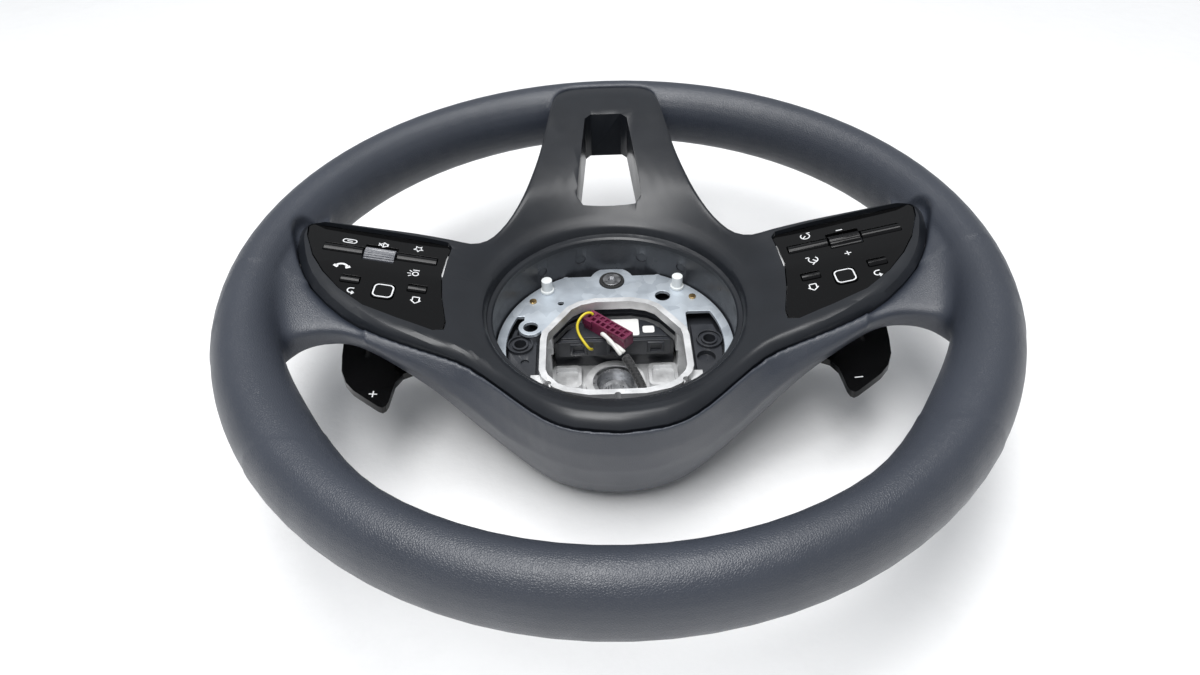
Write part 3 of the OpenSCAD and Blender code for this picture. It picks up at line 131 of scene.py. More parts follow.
# Labels on the electronics box: name, middle and size, and their height, all in millimetres
LABELS = (("label_wide", (5, 21.5), (17.5, 13.6)), ("label_narrow", (18.9, 19.4), (6.4, 5.6)))
LABEL_Z = 36.04
LABEL_CORNER = 1.2

# Frame of a switch panel: where it stands, how it tilts and how it is turned
PANEL_AT = Vector((112, 10, 88.6)) * MM
PANEL_PITCH = math.radians(10.8)
PANEL_TURN = math.radians(3)
FIELD_FALL = 0.085
LEFT, RIGHT = 1, -1


# ---------------------------------------------------------------- settings

class WheelSkinSettings(bpy.types.PropertyGroup):
    """Colour, grain and mesh of the foam's skin"""
    colour: FloatVectorProperty(
        name="Skin colour", description="Colour of the foam's skin", subtype="COLOR", size=3,
        min=0, max=1, default=(0.022, 0.027, 0.039))
    grain: FloatProperty(
        name="Grain", description="Width of one pebble of the grain", unit="LENGTH",
        min=0.0003, max=0.003, default=0.0009)
    grain_depth: FloatProperty(
        name="Grain depth", description="Depth of the creases of the grain", unit="LENGTH",
        min=0, max=0.0005, default=0.00006)
    voxel: FloatProperty(
        name="Skin cell", description="Cell at which the foam's solids are joined into one skin",
        unit="LENGTH", min=0.0008, max=0.004, default=0.001)
    fairing: IntProperty(
        name="Fairing", description="Passes that round the valley between rim and spokes",
        min=0, max=200, default=60)


class WheelPaintSettings(bpy.types.PropertyGroup):
    """Colours of the hard black pieces, and the rounding of edges"""
    trim_colour: FloatVectorProperty(
        name="Trim colour", description="Colour of the satin trim", subtype="COLOR", size=3,
        min=0, max=1, default=(0.009, 0.0105, 0.0135))
    gloss_colour: FloatVectorProperty(
        name="Panel colour", description="Colour of the gloss switch panels", subtype="COLOR",
        size=3, min=0, max=1, default=(0.003, 0.003, 0.0032))
    edge_round: FloatProperty(
        name="Edge rounding", description="Width of the rounding where a piece has none of its own",
        unit="LENGTH", min=0, max=0.001, default=0.0003)


class WheelPrintSettings(bpy.types.PropertyGroup):
    """Colour and line of the printed signs"""
    colour: FloatVectorProperty(
        name="Print colour", description="Colour of the signs", subtype="COLOR", size=3,
        min=0, max=1, default=(0.74, 0.75, 0.76))
    line: FloatProperty(
        name="Line", description="Width of the signs' lines", unit="LENGTH",
        min=0.0002, max=0.001, default=0.00056)


# ---------------------------------------------------------------- finishes

class Finish:
    """A material under construction: a principled shader fed by patterns on Object coordinates."""

    def __init__(self, name, colour, roughness, metallic=0.0, sockets=None):
        self.material = bpy.data.materials.new(name)
        self.material.use_nodes = True
        self.nodes = self.material.node_tree.nodes
        self.links = self.material.node_tree.links
        self.shader = next(n for n in self.nodes if n.type == "BSDF_PRINCIPLED")
        self.colour = (*colour, 1)
        self.shader.inputs["Base Color"].default_value = self.colour
        self.shader.inputs["Roughness"].default_value = roughness
        self.shader.inputs["Metallic"].default_value = metallic
        for key, value in (sockets or {}).items():
            self.shader.inputs[key].default_value = value
        self.place = self.nodes.new("ShaderNodeTexCoord").outputs["Object"]
        self.tone = None
        self.bump = None

    def noise(self, scale, detail=3.0, roughness=0.5):
        node = self.nodes.new("ShaderNodeTexNoise")
        node.inputs["Scale"].default_value = scale
        node.inputs["Detail"].default_value = detail
        node.inputs["Roughness"].default_value = roughness
        self.links.new(self.place, node.inputs["Vector"])
        return node.outputs["Fac"]

    def cells(self, scale, feature="F1", place=None, output="Distance"):
        node = self.nodes.new("ShaderNodeTexVoronoi")
        node.feature = feature
        node.inputs["Scale"].default_value = scale
        self.links.new(place or self.place, node.inputs["Vector"])
        return node.outputs[output]

    def shifted(self, scale, amount):
        """Object coordinates pushed about by a noise, so that a pattern loses its regularity."""
        noise = self.nodes.new("ShaderNodeTexNoise")
        noise.inputs["Scale"].default_value = scale
        self.links.new(self.place, noise.inputs["Vector"])
        push = self.nodes.new("ShaderNodeVectorMath")
        push.operation = "MULTIPLY_ADD"
        push.inputs[1].default_value = (amount, amount, amount)
        self.links.new(noise.outputs["Color"], push.inputs[0])
        self.links.new(self.place, push.inputs[2])
        return push.outputs["Vector"]

    def ranged(self, value, low, high, to_low, to_high):
        """Maps low to high of a value on to to_low to to_high."""
        node = self.nodes.new("ShaderNodeMapRange")
        ends = {"From Min": low, "From Max": high, "To Min": to_low, "To Max": to_high}
        for key, number in ends.items():
            node.inputs[key].default_value = number
        self.links.new(value, node.inputs["Value"])
        return node.outputs["Result"]

    def product(self, a, b):
        node = self.nodes.new("ShaderNodeMath")
        node.operation = "MULTIPLY"
        self.links.new(a, node.inputs[0])
        self.links.new(b, node.inputs[1])
        return node.outputs["Value"]

    def tint(self, share, colour):
        """Lays another colour over the base where share is high."""
        node = self.nodes.new("ShaderNodeMix")
        node.data_type = "RGBA"
        if self.tone is None:
            node.inputs["A"].default_value = self.colour
        else:
            self.links.new(self.tone, node.inputs["A"])
        node.inputs["B"].default_value = (*colour, 1)
        self.links.new(share, node.inputs["Factor"])
        self.tone = node.outputs["Result"]
        self.links.new(self.tone, self.shader.inputs["Base Color"])
        return self

    def flecked(self, scale, detail, above, full, share, colour, roughness=0.7):
        """Flecks of another colour that start where a noise is above one value."""
        noise = self.noise(scale, detail, roughness)
        return self.tint(self.ranged(noise, above, full, 0, share), colour)

    def cloudy(self, scale, amount):
        """Lets the base colour drift lighter or darker by an amount over the surface."""
        share = self.ranged(self.noise(scale, detail=4.0), 0.35, 0.68, 0, 1)
        gain = 1 + amount
        return self.tint(share, [min(1, channel * gain) for channel in self.colour[:3]])

    def dull(self, value, low, high):
        """Lets the roughness run from low to high with a value."""
        share = self.ranged(value, NOISE_LOW, NOISE_HIGH, low, high)
        self.links.new(share, self.shader.inputs["Roughness"])
        return self

    def relief(self, height, depth):
        """Adds the bumps of a height, depth metres deep, to those laid before."""
        node = self.nodes.new("ShaderNodeBump")
        node.inputs["Distance"].default_value = depth
        node.inputs["Strength"].default_value = 1.0
        self.links.new(height, node.inputs["Height"])
        if self.bump is not None:
            self.links.new(self.bump, node.inputs["Normal"])
        self.bump = node.outputs["Normal"]
        self.links.new(self.bump, self.shader.inputs["Normal"])
        return self


def foam_skin(settings):
    skin = Finish("foam_skin", settings.colour, 0.42, sockets={SHINE: 0.75})
    place = skin.shifted(700, 0.0006)
    pebbles = skin.cells(1 / settings.grain, "DISTANCE_TO_EDGE", place)
    creases = skin.ranged(pebbles, 0, 0.28, 0, 1)
    skin.cloudy(14, 0.16)
    skin.flecked(180, 5, above=0.62, full=0.74, share=0.22, colour=(0.055, 0.06, 0.07))
    skin.dull(skin.noise(60, 4), 0.38, 0.46)
    skin.relief(creases, settings.grain_depth)
    skin.relief(skin.noise(2600, 2), 0.03 * MM)
    return skin.material


def satin_paint(settings):
    paint = Finish("satin_black", settings.trim_colour, 0.33, sockets={SHINE: 0.42})
    paint.cloudy(40, 0.25)
    paint.flecked(900, 4, above=0.66, full=0.76, share=0.2, colour=(0.05, 0.05, 0.055))
    paint.dull(paint.noise(90, 5), 0.31, 0.37)
    paint.relief(paint.noise(2200, 3), 0.025 * MM)
    return paint.material


def moulded_plastic(name, colour, roughness, grain=0.03 * MM):
    plastic = Finish(name, colour, roughness)
    plastic.cloudy(60, 0.35)
    plastic.flecked(420, 5, above=0.63, full=0.75, share=0.25, colour=(0.16, 0.16, 0.165))
    plastic.dull(plastic.noise(150, 4), roughness - 0.08, roughness + 0.08)
    plastic.relief(plastic.noise(1800, 3), grain)
    return plastic.material


def gloss_plastic(name, colour, roughness, dust=0.35, shine=0.5):
    """A polished plastic; dust is how strongly its specks show."""
    gloss = Finish(name, colour, roughness, sockets={SHINE: shine})
    specks = gloss.cells(1300)
    gloss.tint(gloss.ranged(specks, 0.03, 0.09, dust, 0), (0.14, 0.14, 0.14))
    gloss.flecked(70, 6, above=0.62, full=0.8, share=0.05, colour=(0.1, 0.095, 0.085))
    gloss.dull(gloss.noise(260, 6, 0.7), roughness * 0.7, roughness * 1.6)
    gloss.relief(gloss.noise(320, 2), 0.006 * MM)
    return gloss.material


def cast_metal():
    metal = Finish("cast_metal", (0.78, 0.785, 0.79), 0.45, metallic=0.6)
    metal.cloudy(90, -0.25)
    metal.flecked(
        700, 6, above=0.6, full=0.78, share=0.5, colour=(0.22, 0.22, 0.23), roughness=0.75)
    metal.dull(metal.noise(240, 5), 0.35, 0.58)
    metal.relief(metal.noise(900, 5, 0.65), 0.12 * MM)
    return metal.material


def galvanised():
    steel = Finish("galvanised", (0.66, 0.72, 0.78), 0.36, metallic=0.6)
    spangle = steel.cells(130, "F1", steel.shifted(150, 0.004), "Color")
    steel.tint(steel.ranged(spangle, 0.2, 0.8, 0, 0.45), (0.38, 0.43, 0.49))
    steel.flecked(260, 6, above=0.6, full=0.72, share=0.4, colour=(0.75, 0.78, 0.8))
    steel.dull(steel.noise(120, 5), 0.3, 0.48)
    steel.relief(steel.noise(500, 4), 0.03 * MM)
    return steel.material


def turned_metal(name, colour, roughness):
    """A bare metal with the fine rings that a lathe leaves."""
    metal = Finish(name, colour, roughness, metallic=1.0)
    wave = metal.nodes.new("ShaderNodeTexWave")
    wave.wave_type = "RINGS"
    wave.rings_direction = "Z"
    wave.inputs["Scale"].default_value = 450
    wave.inputs["Distortion"].default_value = 1.2
    metal.links.new(metal.place, wave.inputs["Vector"])
    metal.cloudy(200, -0.35)
    metal.dull(metal.noise(400, 4), roughness - 0.1, roughness + 0.12)
    metal.relief(wave.outputs["Fac"], 0.02 * MM)
    return metal.material


def wire_skin(name, colour):
    wire = Finish(name, colour, 0.38)
    wire.cloudy(160, -0.15)
    wire.flecked(700, 5, above=0.62, full=0.74, share=0.3, colour=(0.25, 0.22, 0.15))
    wire.dull(wire.noise(300, 3), 0.3, 0.5)
    wire.relief(wire.noise(1500, 2), 0.02 * MM)
    return wire.material


def woven_sleeve():
    sleeve = Finish("sleeve_black", (0.014, 0.014, 0.015), 0.62, sockets={"Sheen Weight": 0.25})
    crossing = None
    for direction in ("X", "Y", "Z"):
        wave = sleeve.nodes.new("ShaderNodeTexWave")
        wave.bands_direction = direction
        wave.inputs["Scale"].default_value = 260
        wave.inputs["Distortion"].default_value = 0.6
        sleeve.links.new(sleeve.place, wave.inputs["Vector"])
        bands = wave.outputs["Fac"]
        crossing = bands if crossing is None else sleeve.product(crossing, bands)
    sleeve.tint(sleeve.ranged(crossing, 0.05, 0.6, 0, 0.5), (0.06, 0.06, 0.062))
    sleeve.relief(crossing, 0.3 * MM)
    return sleeve.material


def circuit_board():
    board = Finish("circuit_board", (0.012, 0.075, 0.035), 0.3)
    tracks = board.nodes.new("ShaderNodeTexBrick")
    tracks.inputs["Scale"].default_value = 120
    board.links.new(board.place, tracks.inputs["Vector"])
    board.tint(board.ranged(tracks.outputs["Fac"], 0, 1, 0, 0.5), (0.03, 0.16, 0.08))
    board.dull(board.noise(300, 3), 0.22, 0.4)
    board.relief(tracks.outputs["Fac"], 0.03 * MM)
    return board.material


def print_ink(settings):
    ink = Finish(INK, settings.colour, 0.45)
    ink.cloudy(300, -0.12)
    ink.dull(ink.noise(500, 3), 0.38, 0.55)
    ink.relief(ink.noise(3000, 2), 0.01 * MM)
    return ink.material


def label_paper():
    paper = Finish(LABEL, (0.78, 0.78, 0.76), 0.55)
    paper.cloudy(120, -0.08)
    paper.flecked(900, 5, above=0.62, full=0.75, share=0.3, colour=(0.5, 0.5, 0.49))
    paper.dull(paper.noise(400, 3), 0.48, 0.62)
    return paper.material


def silicone():
    rubber = Finish(
        "silicone", (0.30, 0.31, 0.32), 0.5,
        sockets={"Transmission Weight": 0.1, "Subsurface Weight": 0.1})
    rubber.cloudy(100, 0.2)
    rubber.dull(rubber.noise(200, 3), 0.42, 0.6)
    rubber.relief(rubber.noise(900, 3), 0.03 * MM)
    return rubber.material


FINISHES = {}


def mix_finishes(scene):
    """Fills FINISHES with the wheel's materials by name."""
    skin, paint, ink = scene.wheel_skin, scene.wheel_paint, scene.wheel_print
    FINISHES.update({
        "foam_skin": foam_skin(skin),
        "satin_black": satin_paint(paint),
        "gloss_black": gloss_plastic("gloss_black", paint.gloss_colour, 0.07, shine=0.24),
        "button_black": gloss_plastic("button_black", (0.004, 0.004, 0.0045), 0.09, 0.1, shine=0.2),
        "moulded_black": moulded_plastic("moulded_black", (0.025, 0.027, 0.032), 0.35),
        "rubber_black": moulded_plastic("rubber_black", (0.010, 0.010, 0.010), 0.62, 0.05 * MM),
        "white_plastic": moulded_plastic("white_plastic", (0.60, 0.62, 0.62), 0.42),
        "burgundy_plastic": moulded_plastic("burgundy_plastic", (0.12, 0.014, 0.045), 0.3),
        "roller_grey": gloss_plastic("roller_grey", (0.075, 0.08, 0.095), 0.24, 0.2, shine=0.8),
        "cast_metal": cast_metal(),
        "galvanised": galvanised(),
        "turned_steel": turned_metal("turned_steel", (0.56, 0.57, 0.59), 0.34),
        "steel_pin": turned_metal("steel_pin", (0.6, 0.6, 0.6), 0.25),
        "brass": turned_metal("brass", (0.60, 0.42, 0.20), 0.32),
        "yellow_wire": wire_skin("yellow_wire", (0.72, 0.58, 0.03)),
        "white_wire": wire_skin("white_wire", (0.74, 0.74, 0.71)),
        "sleeve_black": woven_sleeve(),
        "circuit_board": circuit_board(),
        "silicone": silicone(),
        INK: print_ink(ink),
        LABEL: label_paper(),
    })


# ---------------------------------------------------------------- shaping helpers

def own_slot(node):
    """The record's material slot of a CAD node."""
    parts = frame["record"]["subparts"]
    return next(part["material_slot"] for part in parts if part["node"] == node)


def own_body(node):
    """The body that a CAD node rides on."""
    return frame["nodes"][node]["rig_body"]


def merged_copy(node):
    """A copy of a CAD node's mesh with its doubled points merged."""
    bm = bmesh.new()
    bm.from_mesh(frame["nodes"][node].data)
    bmesh.ops.remove_doubles(bm, verts=bm.verts, dist=MERGE)
    return bm


def finished(bm, name, slot, body, smooth=SMOOTH):
    """Turns a bmesh into a piece of the wheel with its finish and its body."""
    mesh = bpy.data.meshes.new(name)
    bm.to_mesh(mesh)
    bm.free()
    mesh.shade_smooth()
    mesh.set_sharp_from_angle(angle=math.radians(smooth))
    piece = bpy.data.objects.new(name, mesh)
    bpy.context.scene.collection.objects.link(piece)
    mesh.materials.append(FINISHES[slot])
    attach(piece, body)
    return piece


def rounded_edges(piece, width):
    bevel = piece.modifiers.new("edge rounding", "BEVEL")
    bevel.width = width
    bevel.segments = ROUNDED_SEGMENTS
    bevel.limit_method = "ANGLE"
    bevel.angle_limit = ROUNDED_ANGLE
    bevel.harden_normals = True


def dressed(node):
    """A copy of a CAD node with flat faces joined and its edges rounded, in place of the node."""
    kind = node.removesuffix("_left").removesuffix("_right")
    smooth = SMOOTH_ANGLES.get(kind, SMOOTH)
    width = bpy.context.scene.wheel_paint.edge_round
    if kind in EDGE_WIDTHS:
        width = EDGE_WIDTHS[kind] * MM
    bm = merged_copy(node)
    bmesh.ops.dissolve_limit(bm, angle_limit=FLAT_ANGLE, verts=bm.verts, edges=bm.edges)
    piece = finished(bm, node + "_skin", own_slot(node), own_body(node), smooth)
    if width:
        rounded_edges(piece, width)
    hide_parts(node)
    return piece


def panel_point(side, u, v, lift=0.0):
    """Point of a switch panel's face in the wheel's frame; u, v and lift in millimetres."""
    w = (FIELD_FALL * v if v < 0 else 0) + lift
    turn = Matrix.Rotation(-PANEL_PITCH, 3, "Y") @ Matrix.Rotation(PANEL_TURN, 3, "Z")
    point = PANEL_AT + turn @ (Vector((u, v, w)) * MM)
    point.x *= side
    return point


def panel_matrix(side, u, v, flat=False, lift=0.0):
    """Places a sign drawn the driver's way up, x to the driver's right and y to the wheel's top.

    A flat sign ignores the fall of the face's lower field, as the touch pads do.
    """
    at = panel_point(side, u, v, lift)
    right = (panel_point(side, u - side, v, lift) - at).normalized()
    fall = FIELD_FALL if flat and v < 0 else 0
    up = (panel_point(side, u, v - 1, lift + fall) - at).normalized()
    out = right.cross(up).normalized()
    matrix = Matrix((right, up, out)).transposed().to_4x4()
    matrix.translation = at
    return matrix


# ---------------------------------------------------------------- signs

# How much larger the signs stand on the panels than they are drawn here
SIGN_SCALE = 1.42


def bar(bm, start, end, width):
    """A straight stroke of a sign between two points in millimetres; its width is in metres."""
    a, b = Vector(start) * MM, Vector(end) * MM
    along = b - a
    turn = Matrix.Rotation(math.atan2(along.y, along.x), 4, "Z")
    size = Matrix.Diagonal((along.length + width * 0.8, width, INK_THICKNESS * 2, 1))
    bmesh.ops.create_cube(
        bm, size=1, matrix=Matrix.Translation(((a + b) / 2).to_3d()) @ turn @ size)


def arc(bm, centre, radius, start, end, width, steps=24):
    """A curved stroke of a sign, or a whole ring: centre and radius in millimetres, degrees."""
    whole = abs(end - start) >= 360
    sliver = Matrix.Diagonal((width, 0.01 * MM, INK_THICKNESS * 2, 1))
    made = bmesh.ops.create_cube(bm, size=1, matrix=sliver)["verts"]
    face = max({face for vert in made for face in vert.link_faces}, key=lambda f: f.normal.y)
    keep = list(face.verts)
    bmesh.ops.delete(bm, geom=[vert for vert in made if vert not in keep], context="VERTS")
    middle = (Vector(centre) * MM).to_3d()
    place = Matrix.Translation(middle) @ Matrix.Rotation(math.radians(start), 4, "Z")
    bmesh.ops.transform(bm, matrix=place @ Matrix.Translation((radius * MM, 0, 0)), verts=keep)
    bmesh.ops.spin(
        bm, geom=[face, *face.edges, *keep], cent=middle, axis=(0, 0, 1),
        angle=math.radians(end - start), steps=steps, use_merge=whole)


def sign_ring(bm, line):
    for side in (-1, 1):
        arc(bm, (1.4 * side, 0), 1.0, -90 * side, 180 - 90 * side, line, 12)
        bar(bm, (-1.4, side), (1.4, side), line)
    bar(bm, (-0.8, 0), (0.8, 0), line)


def sign_handset(bm, line):
    arc(bm, (0, 1.7), 2.3, 205, 335, line * 2, 12)
    for side in (-1, 1):
        bar(bm, (2.45 * side, 0.55), (1.7 * side, 0.95), line * 2.6)


def sign_mute(bm, line):
    bar(bm, (-1.2, -0.5), (-1.2, 0.5), line * 1.4)
    bar(bm, (-0.8, 0.6), (0.2, 1.3), line)
    bar(bm, (-0.8, -0.6), (0.2, -1.3), line)
    bar(bm, (0.35, -1.3), (0.35, 1.3), line)
    bar(bm, (0.9, -0.6), (1.9, 0.6), line)
    bar(bm, (0.9, 0.6), (1.9, -0.6), line)


def sign_star(bm, line):
    for k in range(5):
        turn = [math.radians(90 + 72 * (k + half)) for half in (0, 0.5, 1)]
        points = [(r * math.cos(t), r * math.sin(t)) for r, t in zip((1.7, 0.8, 1.7), turn)]
        bar(bm, points[0], points[1], line * 0.8)
        bar(bm, points[1], points[2], line * 0.8)


def sign_voice(bm, line):
    arc(bm, (-0.9, 0.4), 1.0, 0, 360, line)
    bar(bm, (-1.9, -1.6), (0.1, -1.6), line)
    for k in (0, 1, 2):
        angle = math.radians(-35 + 35 * k)
        reach = Vector((math.cos(angle), math.sin(angle)))
        start = Vector((-0.9, 0.4)) + reach * 1.7
        bar(bm, start, start + reach, line * 0.8)


def sign_back(bm, line):
    arc(bm, (0, -0.1), 1.1, -90, 90, line, 12)
    bar(bm, (-1.2, 1.0), (0, 1.0), line)
    bar(bm, (-1.2, 1.0), (-0.5, 1.6), line)
    bar(bm, (-1.2, 1.0), (-0.5, 0.4), line)
    bar(bm, (-0.8, -1.2), (0, -1.2), line)


def sign_home(bm, line):
    bar(bm, (-1.6, 0.2), (0, 1.6), line)
    bar(bm, (1.6, 0.2), (0, 1.6), line)
    bar(bm, (-1.15, 0.2), (-1.15, -1.4), line)
    bar(bm, (1.15, 0.2), (1.15, -1.4), line)
    bar(bm, (-1.15, -1.4), (1.15, -1.4), line)


def sign_dial(bm, line):
    arc(bm, (0, 0), 1.6, -50, 230, line, 18)
    bar(bm, (0, 0), (0.8, 0.9), line)
    bar(bm, (-1.9, -1.6), (-0.9, -1.6), line)


def sign_dial_arrow(bm, line):
    arc(bm, (0, 0), 1.6, -50, 230, line, 18)
    bar(bm, (0, 0), (-0.8, 0.9), line)
    bar(bm, (1.3, -1.6), (2.2, -1.6), line)
    bar(bm, (0, 1.9), (0.6, 2.5), line)


def sign_plus(bm, line):
    bar(bm, (-1, 0), (1, 0), line)
    bar(bm, (0, -1), (0, 1), line)


def sign_minus(bm, line):
    bar(bm, (-1, 0), (1, 0), line)


def sign_pad(bm, line):
    half, corner = 4.5, 2.2
    for k in range(4):
        turn = math.radians(90 * k)
        swing = Matrix.Rotation(turn, 2)
        bar(bm, swing @ Vector((-half + corner, half)), swing @ Vector((half - corner, half)), line)
        centre = swing @ Vector((half - corner, half - corner))
        arc(bm, centre, corner, 90 * k, 90 * k + 90, line, 6)


# Each sign: what it draws, and where on the panel its middle is, u and v in millimetres
SIGNS = {
    RIGHT: [
        (sign_ring, 23.5, 19.8), (sign_mute, 6.2, 20.7), (sign_star, -11.1, 21.6),
        (sign_handset, 22.4, -0.2), (sign_voice, -12.1, 1.6),
        (sign_back, 14.3, -16.8), (sign_home, -16.9, -17.1),
    ],
    LEFT: [
        (sign_minus, 6.2, 20.7), (sign_dial, -11.1, 21.6), (sign_plus, 5.1, 1.0),
        (sign_dial_arrow, -12.1, 1.6), (sign_back, 14.3, -16.8), (sign_home, -16.9, -17.1),
    ],
}
# Middle of a touch pad on its panel, and the height of its face over the panel's
PAD_AT = (-0.7, -14.2)
PAD_TOP = 0.3
# Each paddle's node and its piece, the sign on it and where it is
PADDLE_SIGNS = (
    ("paddle_left", "paddle_sign_left", sign_minus, (0.1168, -0.0386)),
    ("paddle_right", "paddle_sign_right", sign_plus, (-0.1182, -0.0395)),
)
PADDLE_SCALE = 1.75
# How much wider the lines are on the paddles and on the touch pads than on the panels
PADDLE_LINE, PAD_LINE = 1.1, 1.2
# A height over the whole wheel
ABOVE = 0.2


# ---------------------------------------------------------------- operators

class WHEEL_OT_studio(bpy.types.Operator):
    """Camera, pale floor, soft lamps and even surroundings"""
    bl_idname = "wheel.studio"
    bl_label = "Studio"

    def execute(self, context):
        scene = context.scene
        scene.view_settings.view_transform = "Standard"
        self.camera(scene)
        self.surroundings(scene)
        self.floor(scene)
        for lamp in LAMPS:
            self.lamp(scene, *lamp)
        return {"FINISHED"}

    @staticmethod
    def camera(scene):
        data = bpy.data.cameras.new("camera")
        data.lens = LENS
        data.sensor_width = SENSOR
        camera = bpy.data.objects.new("camera", data)
        scene.collection.objects.link(camera)
        back = Vector((0, -math.cos(CAMERA_PITCH), math.sin(CAMERA_PITCH)))
        side = Vector((1, 0, 0))
        up = side.cross(-back)
        right = math.cos(CAMERA_ROLL) * side + math.sin(CAMERA_ROLL) * up
        up = math.cos(CAMERA_ROLL) * up - math.sin(CAMERA_ROLL) * side
        matrix = Matrix((right, up, back)).transposed().to_4x4()
        matrix.translation = CAMERA_AT
        camera.matrix_world = matrix
        scene.camera = camera

    @staticmethod
    def surroundings(scene):
        """A sky that lights evenly, and is seen as plain white."""
        world = bpy.data.worlds.new("surroundings")
        world.use_nodes = True
        nodes, links = world.node_tree.nodes, world.node_tree.links
        light = nodes["Background"]
        light.inputs["Color"].default_value = SKY_COLOUR
        light.inputs["Strength"].default_value = SKY_STRENGTH
        seen = nodes.new("ShaderNodeBackground")
        seen.inputs["Color"].default_value = WHITE
        seen.inputs["Strength"].default_value = 1.0
        path = nodes.new("ShaderNodeLightPath")
        mix = nodes.new("ShaderNodeMixShader")
        either = nodes.new("ShaderNodeMath")
        either.operation = "MAXIMUM"
        links.new(path.outputs["Is Camera Ray"], either.inputs[0])
        links.new(path.outputs["Is Transmission Ray"], either.inputs[1])
        links.new(either.outputs[0], mix.inputs["Fac"])
        links.new(light.outputs[0], mix.inputs[1])
        links.new(seen.outputs[0], mix.inputs[2])
        links.new(mix.outputs[0], nodes["World Output"].inputs["Surface"])
        scene.world = world

    @staticmethod
    def floor(scene):
        bm = bmesh.new()
        bmesh.ops.create_grid(bm, x_segments=1, y_segments=1, size=FLOOR_SIZE)
        mesh = bpy.data.meshes.new("floor")
        bm.to_mesh(mesh)
        bm.free()
        floor = bpy.data.objects.new("floor", mesh)
        scene.collection.objects.link(floor)
        paper = Finish("floor_paper", (0.86, 0.86, 0.86), 0.7)
        paper.cloudy(3, 0.04)
        paper.flecked(45, 5, above=0.5, full=0.8, share=0.25, colour=(0.78, 0.78, 0.775))
        paper.relief(paper.noise(70, 4), 0.6 * MM)
        mesh.materials.append(paper.material)

    @staticmethod
    def lamp(scene, name, at, width, watts):
        data = bpy.data.lights.new(name, "AREA")
        data.shape = "ELLIPSE"
        data.size = data.size_y = width
        data.energy = watts
        lamp = bpy.data.objects.new(name, data)
        scene.collection.objects.link(lamp)
        lamp.location = at
        lamp.rotation_euler = (at - LAMP_TARGET).to_track_quat("Z", "Y").to_euler()


class WHEEL_OT_rim(bpy.types.Operator):
    """Foam rim, side spokes and skirt as one grained skin with faired valleys"""
    bl_idname = "wheel.rim"
    bl_label = "Rim and spokes"

    def execute(self, context):
        settings = context.scene.wheel_skin
        bm = merged_copy("rim_grip")
        self.fill_ring_channel(bm)
        rough = bpy.data.meshes.new("rim_rough")
        bm.to_mesh(rough)
        bm.free()
        carrier = bpy.data.objects.new("rim_rough", rough)
        context.scene.collection.objects.link(carrier)
        remesh = carrier.modifiers.new("one skin", "REMESH")
        remesh.mode = "VOXEL"
        remesh.voxel_size = settings.voxel
        joined = bpy.data.meshes.new_from_object(
            carrier.evaluated_get(context.evaluated_depsgraph_get()))
        bpy.data.objects.remove(carrier)
        bm = bmesh.new()
        bm.from_mesh(joined)
        if not bm.faces:
            raise RuntimeError("the rim's skin came out empty")
        self.fair(bm, settings.fairing)
        piece = finished(bm, "rim_skin", "foam_skin", WHEEL, SKIN_SMOOTH)
        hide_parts("rim_grip")
        return {"FINISHED"}

    @staticmethod
    def fill_ring_channel(bm):
        """A round hoop inside the rim takes the place of the channel for the cast ring."""
        upright = Matrix.Rotation(math.pi / 2, 4, "X")
        made = bmesh.ops.create_circle(
            bm, segments=HOOP_POINTS, radius=HOOP_R,
            matrix=Matrix.Translation(HOOP_AT) @ upright)["verts"]
        edges = list({edge for vert in made for edge in vert.link_edges})
        bmesh.ops.spin(
            bm, geom=[*made, *edges], cent=(0, 0, 0), axis=(0, 0, 1), angle=math.tau,
            steps=HOOP_STEPS, use_merge=True)

    def fair(self, bm, passes):
        """Takes the cells' steps off the skin and rounds the valleys between rim and spokes."""
        self.soften(bm, bm.verts, SOFTENING)
        valley = [
            vert for vert in bm.verts
            if VALLEY_X[0] < abs(vert.co.x) < VALLEY_X[1]
            and VALLEY_Y[0] < vert.co.y < VALLEY_Y[1] and vert.co.z > VALLEY_Z
        ]
        self.soften(bm, valley, passes)

    @staticmethod
    def soften(bm, verts, passes):
        for _ in range(passes):
            bmesh.ops.smooth_vert(
                bm, verts=verts, factor=EASE, use_axis_x=True, use_axis_y=True, use_axis_z=True)


class WHEEL_OT_trim(bpy.types.Operator):
    """Satin trim, the covers behind it, and the skeleton's ring, arms and frame"""
    bl_idname = "wheel.trim"
    bl_label = "Trim and covers"

    def execute(self, context):
        for node in (
                "trim_bezel", "lower_spoke_cover", "rear_cover", "rear_cover_screws",
                "rim_core", "spoke_arms", "hub_frame"):
            dressed(node)
        return {"FINISHED"}


class WHEEL_OT_hub(bpy.types.Operator):
    """Hub deck, steel insert, airbag seat and everything in the hub's well"""
    bl_idname = "wheel.hub"
    bl_label = "Hub"

    def execute(self, context):
        for node in (
                "armature", "hub_insert", "airbag_plate", "plate_screw", "plate_rivets",
                "hub_liner", "plate_damper", "guide_posts", "socket_carrier_left",
                "socket_carrier_right", "control_module"):
            dressed(node)
        return {"FINISHED"}


